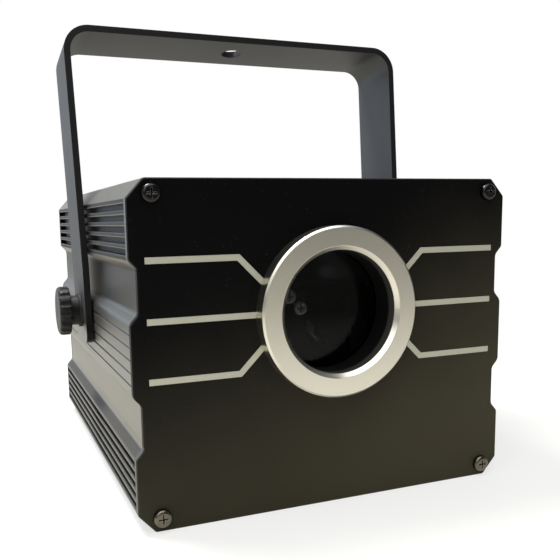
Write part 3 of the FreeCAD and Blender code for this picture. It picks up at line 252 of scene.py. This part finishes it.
def tubeFinish():
    t = tube
    f = Finish("anodised_tube", metallic=t["metallic"], specular_tint=colour(t["shine"]))
    z, rise = f.axes()[2], f.facing()[2]
    streak, cloud, fine = [f.grain(*t[name]) for name in ("streak", "cloud", "fine")]
    fins = z > t["fins"]
    level = f.step(rise, *masks["facing"])
    slopeShade = level * (z < t["slopeTop"])
    # painted light and shade by height: dark high up, lighter low down, darker again at the foot
    tone = f.blend(f.step(z, *t["fade"]), t["lower"], t["upper"])
    tone = f.blend(f.step(z, *t["footTop"]), t["foot"], tone)
    # random streaks and clouds in the tone, with painted shade over the upper fins
    tone = f.shaded(tone, mixed(t["shade"], streak, cloud) - fins * t["finPaintedShade"])
    # painted reflection: downward faces high up take the lighter lower tone
    tone = f.blend(f.step(-1 * rise, *t["down"]) * (z > t["underside"]), tone, t["lower"])
    # painted light on upward faces, more on the roof chamfer
    tone = f.blend(level * (t["upwardLight"] + (z > t["roof"]) * mixed(t["roofLight"], cloud)), tone, t["lower"])
    # painted shade on the low upward slope
    tone = f.blend(slopeShade, tone, t["slopeShade"])
    # painted shade in the grooves between the piece's own walls, stronger low down
    sunk = f.step(f.hollow(t["hollow"]), *t["deep"]) * mixed(t["sunk"], z < t["grooveTop"])
    tone = f.blend(sunk, tone, t["grooveShade"])
    f.feed(base_color=f.blend(f.worn(t["rub"]) * mixed(t["wear"], cloud), tone, t["edge"]))
    dull = slopeShade * t["slopeRough"] + fins * (1 - level) * t["finRough"]
    f.feed(roughness=mixed(t["rough"], streak, fine) + dull)
    f.relief(streak + fine * t["fineRelief"], *t["relief"])
    return f.material


# upper and lower are painted reflection: near black at the top, browner and lighter towards the bottom and the
# right
panel = {"upper": (0.0021, 0.0022, 0.0024), "lower": (0.051, 0.0455, 0.029), "edge": (0.075, 0.072, 0.068),
         "dust": (0.2, 0.19, 0.17), "cut": (0.095, 0.095, 0.092), "cutMetallic": 0.85, "specular": 0.06,
         "height": 130 * mm, "reflectionSlant": 3.0, "uneven": 0.2, "fade": (0.22, 1.25), "bare": (33 * mm, 98 * mm),
         "grain": 0.16, "cloud": (45, (1, 1, 1), 3.0), "specks": (0.6, 0.8, 0.86),
         "drifts": (10, 0.45, 0.6, 2.0), "dusty": 0.12, "rub": 0.3, "wear": 0.55,
         "rough": (0.36, 0.12, 0.06), "relief": (0.01, 0.3)}


def panelFinish():
    p = panel
    f = Finish("satin_black_panel", specular_ior_level=p["specular"])
    x, _, z = f.axes()
    grain, cloud = f.grain(p["grain"]), f.grain(*p["cloud"])
    # painted reflection: the tone runs from upper to lower down the panel and towards the right
    reflectionRamp = 1 - z / p["height"] + x * p["reflectionSlant"] + cloud * p["uneven"]
    tone = f.blend(f.step(reflectionRamp, *p["fade"]), p["upper"], p["lower"])
    tone = f.blend(f.patches(*p["specks"]) * f.patches(*p["drifts"]) * p["dusty"], tone, p["dust"])
    tone = f.blend(f.worn(p["rub"]) * p["wear"], tone, p["edge"])
    front = f.facing()[1]
    low, high = p["bare"]
    edge = 1 - f.step(front * front, *masks["facing"])
    cut = edge * (z < low).larger(z > high)  # sawn metal shows on the edges beside the fins
    f.feed(base_color=f.blend(cut, tone, p["cut"]), metallic=cut * p["cutMetallic"])
    f.feed(roughness=mixed(p["rough"], grain, cloud))
    f.relief(grain, *p["relief"])
    return f.material


# boreFrom and deepFrom are depths behind the ring's face; from deepFrom on, the bore is darker as painted shade
ring = {"tone": (0.73, 0.706, 0.615), "bore": (0.055, 0.051, 0.046), "deep": (0.003, 0.003, 0.003),
        "boreFrom": (1.75 * mm, 1.9 * mm), "deepFrom": (5.0 * mm, 6.5 * mm), "boreRadius": 29.1 * mm,
        "lean": 0.7, "turning": 0.13, "broad": (1.3, 1.0), "shade": (0.86, 0.16, 0.1), "boreDull": 0.7,
        "rough": (0.24, 0.12, 0.2), "broadRelief": 0.5, "relief": (0.014, 0.25)}


def ringFinish():
    f = Finish("turned_silver_ring")
    low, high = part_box("aperture_ring")
    middle = (low + high) / 2
    x, y, z = f.axes()
    across = x - middle.x
    over = z - middle.z
    radius = (across * across + over * over) ** 0.5
    depth = y - low.y
    turning = f.lines(radius + y * ring["lean"], ring["turning"])
    broad = f.lines(radius + y, *ring["broad"])
    bore = f.step(depth, *ring["boreFrom"]) * (radius < ring["boreRadius"])
    # painted shade deeper in the bore
    deep = f.step(depth, *ring["deepFrom"]) * bore
    tone = f.shaded(ring["tone"], mixed(ring["shade"], turning, broad))
    tone = f.blend(bore, tone, ring["bore"])
    f.feed(base_color=f.blend(deep, tone, ring["deep"]), metallic=1 - bore * ring["boreDull"])
    f.feed(roughness=mixed(ring["rough"], turning, bore))
    f.relief(turning + broad * ring["broadRelief"], *ring["relief"])
    return f.material


bar = {"tone": (0.006, 0.006, 0.0063), "edge": (0.045, 0.045, 0.046), "specular": 0.9, "narrowSpecular": 0.2,
       "peel": (0.9, (1, 1, 1), 1.0), "fine": 0.2, "cloud": 50, "shade": (0.85, 0.3), "rub": 0.5, "wear": 0.5,
       "outer": (30 * mm, 60 * mm), "ends": (64 * mm, 78 * mm), "narrow": (0.5, 0.8),
       "rough": (0.5, 0.08, 0.08, 0.1, -0.38), "fineRelief": 0.3, "relief": (0.03, 0.5)}


def barFinish():
    f = Finish("coated_bracket", specular_ior_level=bar["specular"])
    x, _, z = f.axes()
    aside, ahead, _ = f.facing()
    peel, fine, cloud = f.grain(*bar["peel"]), f.grain(bar["fine"]), f.grain(bar["cloud"])
    outer = f.step(aside * x, *bar["outer"])
    polished = 1 - f.step(z, *bar["ends"])  # the washers rub the arms' ends
    tone = f.shaded(bar["tone"], mixed(bar["shade"], cloud))
    f.feed(base_color=f.blend(f.worn(bar["rub"]) * bar["wear"], tone, bar["edge"]))
    f.feed(roughness=mixed(bar["rough"], fine, cloud, outer, polished))
    f.relief(peel + fine * bar["fineRelief"], *bar["relief"])
    dull = f.surface(specular_ior_level=bar["narrowSpecular"])
    for name in ("Base Color", "Roughness", "Normal"):
        shared = f.shader.socket.node.inputs[name].links[0].from_socket
        plug(f.tree, dull.socket.node.inputs[name], Wire(f.tree, shared))
    narrow = f.step(ahead * ahead, *bar["narrow"])  # the bar's narrow edges took a duller coat
    f.show(f.node("ShaderNodeMixShader", inputs={0: narrow, 1: f.shader, 2: dull}))
    return f.material


screw = {"nickel": (0.145, 0.132, 0.101), "steel": (0.72, 0.70, 0.66), "oxide": (0.035, 0.034, 0.034),
         "grimeAndShade": (0.012, 0.011, 0.01), "edge": (0.6, 0.58, 0.55), "darkAbove": 100 * mm,
         "darkBefore": -90 * mm, "scratch": (0.4, (1, 1, 6), 3.0),
         "hollow": 1.6, "deep": (0.3, 0.75), "rub": 0.3, "wear": 0.55,
         "rough": (0.18, 0.14), "relief": (0.01, 0.25)}


def screwFinish(name, plating):
    f = Finish(name, metallic=1.0)
    _, y, z = f.axes()
    dark = (z > screw["darkAbove"]) * (y < screw["darkBefore"])  # the two upper front screws are blackened
    scratch = f.grain(*screw["scratch"])
    tone = f.blend(dark, screw[plating], screw["oxide"])
    # grime with painted shade: darker deep in the drive recess
    tone = f.blend(f.step(f.hollow(screw["hollow"]), *screw["deep"]), tone, screw["grimeAndShade"])
    # lighter rim: edge wear, brightened as a painted highlight
    f.feed(base_color=f.blend(f.worn(screw["rub"]) * screw["wear"], tone, screw["edge"]))
    f.feed(roughness=mixed(screw["rough"], scratch))
    f.relief(scratch, *screw["relief"])
    return f.material


# moulded plastics by material slot; they differ in tone, grain and gloss only
plastics = {
    "inlet_plastic": {"name": "inlet_plastic", "tone": (0.012, 0.012, 0.012), "rough": 0.32, "size": 0.3,
                      "depth": 0.012},
    "knob_black": {"name": "knob_plastic", "tone": (0.0075, 0.0073, 0.007), "rough": 0.38, "size": 0.35,
                   "depth": 0.03, "edge": 0.5},
    "fan_plastic": {"name": "fan_plastic", "tone": (0.012, 0.012, 0.0125), "rough": 0.42, "size": 0.6,
                    "depth": 0.02},
    "button_black": {"name": "button_plastic", "tone": (0.02, 0.02, 0.021), "rough": 0.36, "size": 0.2,
                     "depth": 0.01},
    "nylon_black": {"name": "nylon", "tone": (0.018, 0.018, 0.018), "rough": 0.5, "size": 0.4,
                    "depth": 0.01},
    "seal_rubber": {"name": "rubber", "tone": (0.012, 0.012, 0.012), "rough": 0.62, "size": 0.3,
                    "depth": 0.02},
    "digits_black": {"name": "digit_block", "tone": (0.012, 0.011, 0.011), "rough": 0.5, "size": 0.3,
                     "depth": 0.005, "edge": 0.1},
}
plastic = {"specular": 0.24, "cloud": 12, "shade": (0.8, 0.4), "wear": (0.2, 0.35), "rubbed": (3.2, 0.012),
           "uneven": (0.12, 0.06)}


def plasticFinish(name, tone, rough, size, depth, edge=0.3):
    f = Finish(name, specular_ior_level=plastic["specular"])
    grain, cloud = f.grain(size), f.grain(plastic["cloud"])
    shade = f.shaded(tone, mixed(plastic["shade"], cloud))
    gain, lift = plastic["rubbed"]
    rubbed = [part * gain + lift for part in tone]
    f.feed(base_color=f.blend(f.worn(edge) * mixed(plastic["wear"], cloud), shade, rubbed))
    f.feed(roughness=mixed((rough, *plastic["uneven"]), grain, cloud))
    f.relief(grain, depth, edge)
    return f.material


# plain metals by material slot; stretch is the way the tool marks run
metals = {
    "brass": {"name": "brass", "tone": (0.58, 0.40, 0.17), "rough": 0.26, "size": 0.3},
    "optics_black": {"name": "black_optics", "tone": (0.022, 0.022, 0.023), "rough": 0.40, "size": 0.4,
                     "stretch": (8, 1, 1), "metallic": 0.6},
    "bench_metal": {"name": "plain_sheet", "tone": (0.50, 0.50, 0.49), "rough": 0.32, "size": 0.4,
                    "stretch": (1, 40, 1)},
    "shaft_steel": {"name": "ground_shaft", "tone": (0.52, 0.52, 0.52), "rough": 0.2, "size": 0.2},
    "socket_metal": {"name": "black_casting", "tone": (0.03, 0.03, 0.031), "rough": 0.34, "size": 0.5,
                     "metallic": 0.7},
    "guard_wire": {"name": "plated_wire", "tone": (0.62, 0.61, 0.60), "rough": 0.14, "size": 0.8,
                   "depth": 0.004},
}
metal = {"detail": 3.0, "cloud": 15, "shade": (0.8, 0.22, 0.18), "edge": 0.25, "wear": 0.35,
         "rubbed": (1.6, 0.03), "brightest": 0.9, "uneven": (0.14, 0.06)}


def metalFinish(name, tone, rough, size, stretch=(1, 1, 1), depth=0.01, metallic=1.0):
    f = Finish(name, metallic=metallic)
    marks, cloud = f.grain(size, stretch, metal["detail"]), f.grain(metal["cloud"])
    shade = f.shaded(tone, mixed(metal["shade"], marks, cloud))
    gain, lift = metal["rubbed"]
    rubbed = [min(part * gain + lift, metal["brightest"]) for part in tone]
    f.feed(base_color=f.blend(f.worn(metal["edge"]) * metal["wear"], shade, rubbed))
    f.feed(roughness=mixed((rough, *metal["uneven"]), marks, cloud))
    f.relief(marks, depth, metal["edge"])
    return f.material


window = {"tone": (0.24, 0.25, 0.265), "ior": 1.2, "smear": (12, (1, 1, 2), 3.0), "smeared": (0.45, 0.8),
          "dust": (0.5, 0.78, 0.85), "rough": (0.01, 0.02, 0.1)}


def windowFinish():
    f = Finish("coated_window", base_color=colour(window["tone"]), transmission_weight=1.0, ior=window["ior"])
    smear = f.step(f.grain(*window["smear"]), *window["smeared"])
    f.feed(roughness=mixed(window["rough"], smear, f.patches(*window["dust"])))
    return f.material


mirror = {"tone": (0.17, 0.19, 0.22), "edge": (0.55, 0.62, 0.6), "rub": 0.2, "wear": 0.6,
          "dust": (0.4, 0.75, 0.85), "rough": (0.03, 0.12, 0.3)}


def mirrorFinish():
    f = Finish("front_mirror", metallic=1.0)
    edge = f.worn(mirror["rub"])
    f.feed(base_color=f.blend(edge * mirror["wear"], mirror["tone"], mirror["edge"]))
    f.feed(roughness=mixed(mirror["rough"], f.patches(*mirror["dust"]), edge))
    return f.material


board = {"mask": (0.012, 0.075, 0.032), "trace": (0.02, 0.13, 0.055), "pad": (0.55, 0.42, 0.2),
         "chip": (0.014, 0.014, 0.015), "specular": 0.45, "thick": 1.7 * mm,
         "lanes": 900, "lane": (6, (1, 1, 1), 0.0), "jogs": 6, "jog": 0.4, "line": (0.5, 0.62),
         "swap": (11, 0.49, 0.51), "traced": (8, 0.42, 0.46), "padded": (9, 0.55, 0.58),
         "pitch": 2.54 * mm, "padSize": 0.075, "away": 1.0,
         "grain": 0.4, "rough": (0.3, 0.15, 0.2), "traceRelief": 0.6, "relief": (0.03, 0.2)}


# solder mask with runs of traces and rows of pads; what stands above the level is a chip
def boardFinish(name, axis, level):
    b = board
    f = Finish(name, specular_ior_level=b["specular"])
    spots = f.axes()
    chip = spots[axis] > level
    first, second = [spots[i] for i in range(3) if i != axis]
    swap = f.patches(*b["swap"])
    across = second * swap + first * (1 - swap)
    shift = (f.grain(*b["lane"]) * b["jogs"]).wrapped(1.0) * b["jog"]
    run = f.step((across * b["lanes"] + shift).wrapped(1.0), *b["line"])
    trace = run * f.patches(*b["traced"])
    u, v = [((spot + b["away"]) / b["pitch"]).wrapped(1.0) - 0.5 for spot in (first, second)]
    pad = (u * u + v * v < b["padSize"]) * f.patches(*b["padded"])
    tone = f.blend(trace, b["mask"], b["trace"])
    tone = f.blend(pad, tone, b["pad"])
    f.feed(base_color=f.blend(chip, tone, b["chip"]), metallic=pad * (1 - chip))
    f.feed(roughness=mixed(b["rough"], f.grain(b["grain"]), chip))
    f.relief((trace * b["traceRelief"] + pad) * (1 - chip), *b["relief"])
    return f.material


fuse = {"glass": (0.9, 0.92, 0.9), "glassRough": 0.02, "ior": 1.5, "cap": (0.62, 0.58, 0.5), "length": 5 * mm,
        "marks": (0.3, (1, 4, 4)), "rough": (0.25, 0.15)}


def fuseFinish():
    f = Finish("fuse_tube", base_color=colour(fuse["glass"]), transmission_weight=1.0,
               roughness=fuse["glassRough"], ior=fuse["ior"])
    low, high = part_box("fuse")
    x = f.axes()[0]
    cap = (x < low.x + fuse["length"]).larger(x > high.x - fuse["length"])
    worn = mixed(fuse["rough"], f.grain(*fuse["marks"]))
    plated = f.surface(base_color=colour(fuse["cap"]), metallic=1.0, roughness=worn)
    f.show(f.node("ShaderNodeMixShader", inputs={0: cap, 1: f.shader, 2: plated}))
    return f.material


displayWindow = {"tone": (0.42, 0.012, 0.015), "ior": 1.25, "smear": (6, (1, 1, 3), 3.0),
                 "rough": (0.03, 0.05), "relief": (0.004, 0.2)}


def displayFinish():
    d = displayWindow
    f = Finish("red_window", base_color=colour(d["tone"]), transmission_weight=1.0, ior=d["ior"])
    smear = f.grain(*d["smear"])
    f.feed(roughness=mixed(d["rough"], smear))
    f.relief(smear, *d["relief"])
    return f.material


def dressNodes():
    bySlot = {slot: plasticFinish(**look) for slot, look in plastics.items()}
    bySlot.update({slot: metalFinish(**look) for slot, look in metals.items()})
    bySlot.update({
        "tube_anodised": tubeFinish(), "panel_black": panelFinish(), "ring_silver": ringFinish(),
        "bracket_black": barFinish(), "screw_steel": screwFinish("screw_plating", "nickel"),
        "window_clear": windowFinish(), "mirror": mirrorFinish(), "fuse_glass": fuseFinish(),
        "display_red": displayFinish(),
    })
    clamp = screwFinish("clamp_steel", "steel")
    slotOf = {part["node"]: part["material_slot"] for part in frame["record"]["subparts"]}
    for name, node in nodes.items():
        if slotOf[name] == "board_green":
            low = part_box(name)[0]
            axis = 1 if name == "display_board" else 2
            material = boardFinish(name + "_mask", axis, low[axis] + board["thick"])
        elif name == "galvo_screws":
            material = clamp
        else:
            material = bySlot[slotOf[name]]
        node.data.materials.clear()
        node.data.materials.append(material)
    return bySlot


# Pieces that are made here


def newMesh(work, name):
    mesh = bpy.data.meshes.new(name)
    work.to_mesh(mesh)
    work.free()
    return mesh


def newPiece(name, mesh, material):
    piece = bpy.data.objects.new(name, mesh)
    scene.collection.objects.link(piece)
    mesh.materials.append(material)
    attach(piece, "housing")
    return piece


# one ribbon of even width through points, with mitred corners
def ribbon(name, points, width, low, high):
    work = bmesh.new()
    spots = [Vector(point) for point in points]
    sides = []
    for i, spot in enumerate(spots):
        ways = []
        if i > 0:
            ways.append((spot - spots[i - 1]).normalized())
        if i < len(spots) - 1:
            ways.append((spots[i + 1] - spot).normalized())
        along = sum(ways, Vector((0, 0))).normalized()
        aside = Vector((-along.y, along.x)) * (width / 2 / along.dot(ways[0]))
        sides.append((spot + aside, spot - aside))
    rows = []
    for one, other in sides:
        corners = [(one, low), (one, high), (other, high), (other, low)]
        rows.append([work.verts.new((spot.x, y, spot.y)) for spot, y in corners])
    for near, far in zip(rows, rows[1:]):
        for k in range(4):
            work.faces.new((near[k], near[(k + 1) % 4], far[(k + 1) % 4], far[k]))
    work.faces.new(rows[0])
    work.faces.new(rows[-1])
    bmesh.ops.recalc_face_normals(work, faces=work.faces)
    return newMesh(work, name)


stripes = {"tone": (0.49, 0.483, 0.40), "metallic": 0.55, "dots": (0.25, (1, 1, 1), 1.0), "shade": (0.9, 0.2),
           "rough": (0.46, 0.14), "relief": (0.008, 0.02), "wide": 2.35 * mm, "thick": 0.05 * mm,
           "upper": 101.0 * mm, "middle": 79.0 * mm, "lower": 57.0 * mm, "outer": 75.5 * mm,
           "knee": 40.2 * mm, "end": 30.6 * mm, "drop": 9.6 * mm, "tuck": 0.6 * mm}


def stripeFinish():
    f = Finish("etched_silver_stripe", metallic=stripes["metallic"])
    dots = f.grain(*stripes["dots"])
    f.feed(base_color=f.shaded(stripes["tone"], mixed(stripes["shade"], dots)))
    f.feed(roughness=mixed(stripes["rough"], dots))
    f.relief(dots, *stripes["relief"])
    return f.material


# three printed stripes a side; the middle one runs in under the ring
def addStripes():
    s = stripes
    material = stripeFinish()
    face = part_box("front_panel")[0].y
    ringLow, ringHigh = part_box("aperture_ring")
    ringEdge = (ringHigh.x - ringLow.x) / 2 - s["tuck"]
    runs = {
        "upper": [(s["outer"], s["upper"]), (s["knee"], s["upper"]), (s["end"], s["upper"] - s["drop"])],
        "middle": [(s["outer"], s["middle"]), (ringEdge, s["middle"])],
        "lower": [(s["outer"], s["lower"]), (s["knee"], s["lower"]), (s["end"], s["lower"] + s["drop"])],
    }
    for side, word in ((-1, "left"), (1, "right")):
        for row, points in runs.items():
            mesh = ribbon(row, [(side * x, z) for x, z in points], s["wide"], face, face - s["thick"])
            newPiece("stripe_" + row + "_" + word, mesh, material)


# box between two corners, added to a mesh in work
def addBox(work, low, high):
    for vert in bmesh.ops.create_cube(work, size=1.0)["verts"]:
        vert.co = Vector([low[i] + (vert.co[i] + 0.5) * (high[i] - low[i]) for i in range(3)])


# six-cornered bar of a digit, from one end to the other, standing out along y
def addSegment(work, start, end, half, low, high):
    along = (end - start).normalized()
    aside = Vector((-along.y, along.x))
    near, far = start + along * half, end - along * half
    loop = [start, near + aside * half, far + aside * half, end, far - aside * half, near - aside * half]
    back = [work.verts.new((spot.x, low, spot.y)) for spot in loop]
    front = [work.verts.new((spot.x, high, spot.y)) for spot in loop]
    work.faces.new(front)
    for k in range(len(loop)):
        after = (k + 1) % len(loop)
        work.faces.new((back[k], back[after], front[after], front[k]))


digits = {"count": 4, "lean": 0.12, "pitch": 7.0 * mm, "wide": 4.0 * mm, "tall": 8.0 * mm, "bar": 0.9 * mm,
          "gap": 0.15 * mm, "sunk": 0.4 * mm, "rim": 0.5 * mm,
          "unlit": {"name": "digit_bars", "tone": (0.20, 0.17, 0.165), "rough": 0.42, "size": 0.3,
                    "depth": 0.005, "edge": 0.1}}


# a sunk face within a rim, and the bars of the digits on it
def addDigits(blockFinish):
    d = digits
    low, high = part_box("display_digits")
    middle = (low + high) / 2
    floor = high.y - d["sunk"]
    rim = d["rim"]
    block = bmesh.new()
    addBox(block, low, (high.x, floor, high.z))
    for x0, x1 in ((low.x, low.x + rim), (high.x - rim, high.x)):
        addBox(block, (x0, floor, low.z), (x1, high.y, high.z))
    for z0, z1 in ((low.z, low.z + rim), (high.z - rim, high.z)):
        addBox(block, (low.x + rim, floor, z0), (high.x - rim, high.y, z1))
    bars = bmesh.new()
    w, h = d["wide"] / 2, d["tall"] / 2
    ends = [((-w, h), (w, h)), ((-w, 0), (w, 0)), ((-w, -h), (w, -h)), ((-w, 0), (-w, h)), ((w, 0), (w, h)),
            ((-w, -h), (-w, 0)), ((w, -h), (w, 0))]
    for i in range(d["count"]):
        centre = middle.x + d["pitch"] * (i - (d["count"] - 1) / 2)
        for start, end in ends:
            first, last = Vector(start), Vector(end)
            way = (last - first).normalized() * d["gap"]
            spots = [first + way, last - way]
            spots = [Vector((centre - spot.x - spot.y * d["lean"], middle.z + spot.y)) for spot in spots]
            addSegment(bars, spots[0], spots[1], d["bar"] / 2, floor, floor + d["sunk"] / 2)
    unlit = plasticFinish(**d["unlit"])
    for work, name, material in ((block, "digit_block", blockFinish), (bars, "digit_bars", unlit)):
        bmesh.ops.recalc_face_normals(work, faces=work.faces)
        piece = newPiece(name, newMesh(work, name), material)
        if name == "digit_block":
            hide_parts("display_digits")


# Stage

sky = {"front": (0.13, 0.13, 0.13), "behind": (0.42, 0.45, 0.51), "above": (0.24, 0.29, 0.38),
       "white": (1, 1, 1), "turn": (-0.5, 0.7), "rise": (0.05, 0.65),
       "rays": ("Camera", "Glossy", "Transmission")}


# masks of the camera's rays, and of these with the rays that metal and glass send on
def seenWhite(f):
    rays = f.node("ShaderNodeLightPath").socket.node.outputs
    camera, glossy, through = [Wire(f.tree, rays["Is " + word + " Ray"]) for word in sky["rays"]]
    return camera, camera.larger(glossy).larger(through)


# the floor's white grows from hold to full between near and far; reflected, it ends in front at edge
stage = {"floor": (0.80, 0.785, 0.72), "rough": 0.9, "specular": 0.1, "reach": 6.0, "segments": 8,
         "near": 0.22, "far": 0.6, "hold": 0.68, "warm": (1.0, 0.97, 0.88), "edge": (0.40, 0.62),
         "beyond": (0.40, 0.39, 0.36)}


def addFloor():
    work = bmesh.new()
    count = stage["segments"]
    bmesh.ops.create_grid(work, x_segments=count, y_segments=count, size=stage["reach"])
    mesh = newMesh(work, "floor")
    floor = bpy.data.objects.new("floor", mesh)
    scene.collection.objects.link(floor)
    f = Finish("pale_floor", base_color=colour(stage["floor"]), roughness=stage["rough"],
               specular_ior_level=stage["specular"])
    x, y, _ = f.axes()
    away = (x * x + y * y) ** 0.5
    camera, seen = seenWhite(f)
    ended = f.step(-1 * y, *stage["edge"])
    tone = f.blend(camera, f.blend(ended, stage["warm"], stage["beyond"]), sky["white"])
    white = f.node("ShaderNodeEmission", inputs={"Color": tone, "Strength": 1.0})
    fade = stage["hold"] + f.step(away, stage["near"], stage["far"]) * (1 - stage["hold"])
    f.show(f.node("ShaderNodeMixShader", inputs={0: seen * fade, 1: f.shader, 2: white}))
    mesh.materials.append(f.material)


class World(Finish):
    def __init__(self, name):
        world = bpy.data.worlds.new(name)
        world.use_nodes = True
        self.tree = world.node_tree
        self.tree.nodes.clear()
        self.output = self.tree.nodes.new("ShaderNodeOutputWorld")
        scene.world = world


def addSky():
    f = World("studio")
    _, ahead, up = f.split(f.node("ShaderNodeTexCoord", out="Generated"))
    back = f.step(ahead, *sky["turn"])
    camera, seen = seenWhite(f)
    light = f.blend(back, sky["front"], sky["behind"])
    shown = f.blend(f.step(up, *sky["rise"]), sky["white"], sky["above"])
    backdrop = f.blend(camera, f.blend(back, sky["front"], shown), sky["white"])
    tone = f.blend(seen, light, backdrop)
    f.show(f.node("ShaderNodeBackground", inputs={"Color": tone, "Strength": 1.0}))


lamps = {
    "overhead": {"at": (-0.15, -0.4, 1.3), "aim": (0, -0.15, 0), "size": (1.4, 1.4), "watts": 16},
    "front_left": {"at": (-1.0, -1.1, 0.9), "aim": (0, 0, 0.08), "size": (0.9, 0.9), "watts": 5},
    "left_floor": {"at": (-0.28, 0.22, 0.9), "aim": (-0.18, 0.18, 0), "size": (0.3, 0.3), "watts": 14},
    "back_left": {"at": (-0.96, 1.7, 0.4), "aim": (0, 0, 0.12), "size": (0.8, 0.8), "watts": 3.0,
                  "tone": (0.42, 0.67, 1.0)},
}


def addLamps():
    for name, lamp in lamps.items():
        light = bpy.data.lights.new(name, "AREA")
        light.shape = "RECTANGLE"
        light.size, light.size_y = lamp["size"]
        light.energy = lamp["watts"]
        light.color = lamp.get("tone", (1, 1, 1))
        holder = bpy.data.objects.new(name, light)
        holder.location = lamp["at"]
        way = Vector(lamp["aim"]) - Vector(lamp["at"])
        holder.rotation_euler = way.to_track_quat("-Z", "Y").to_euler()
        holder.visible_camera = False
        scene.collection.objects.link(holder)


view = {"at": (-0.13193, -0.34121, 0.11443), "turn": (81.9586, 1.0795, -21.3728), "lens": 45.126,
        "sensor": 36, "shift": (0.05918, 0.07087), "near": 0.01}


def addCamera():
    data = bpy.data.cameras.new("camera")
    data.sensor_width = view["sensor"]
    data.lens = view["lens"]
    data.shift_x, data.shift_y = view["shift"]
    data.clip_start = view["near"]
    camera = bpy.data.objects.new("camera", data)
    camera.location = view["at"]
    camera.rotation_euler = [math.radians(angle) for angle in view["turn"]]
    scene.collection.objects.link(camera)
    scene.camera = camera


finishes = dressNodes()
print("finishes on the CAD nodes")
addStripes()
addDigits(finishes["digits_black"])
print("stripes and digits added")
addFloor()
addSky()
addLamps()
addCamera()
scene.view_settings.view_transform = "Standard"
print("stage set")
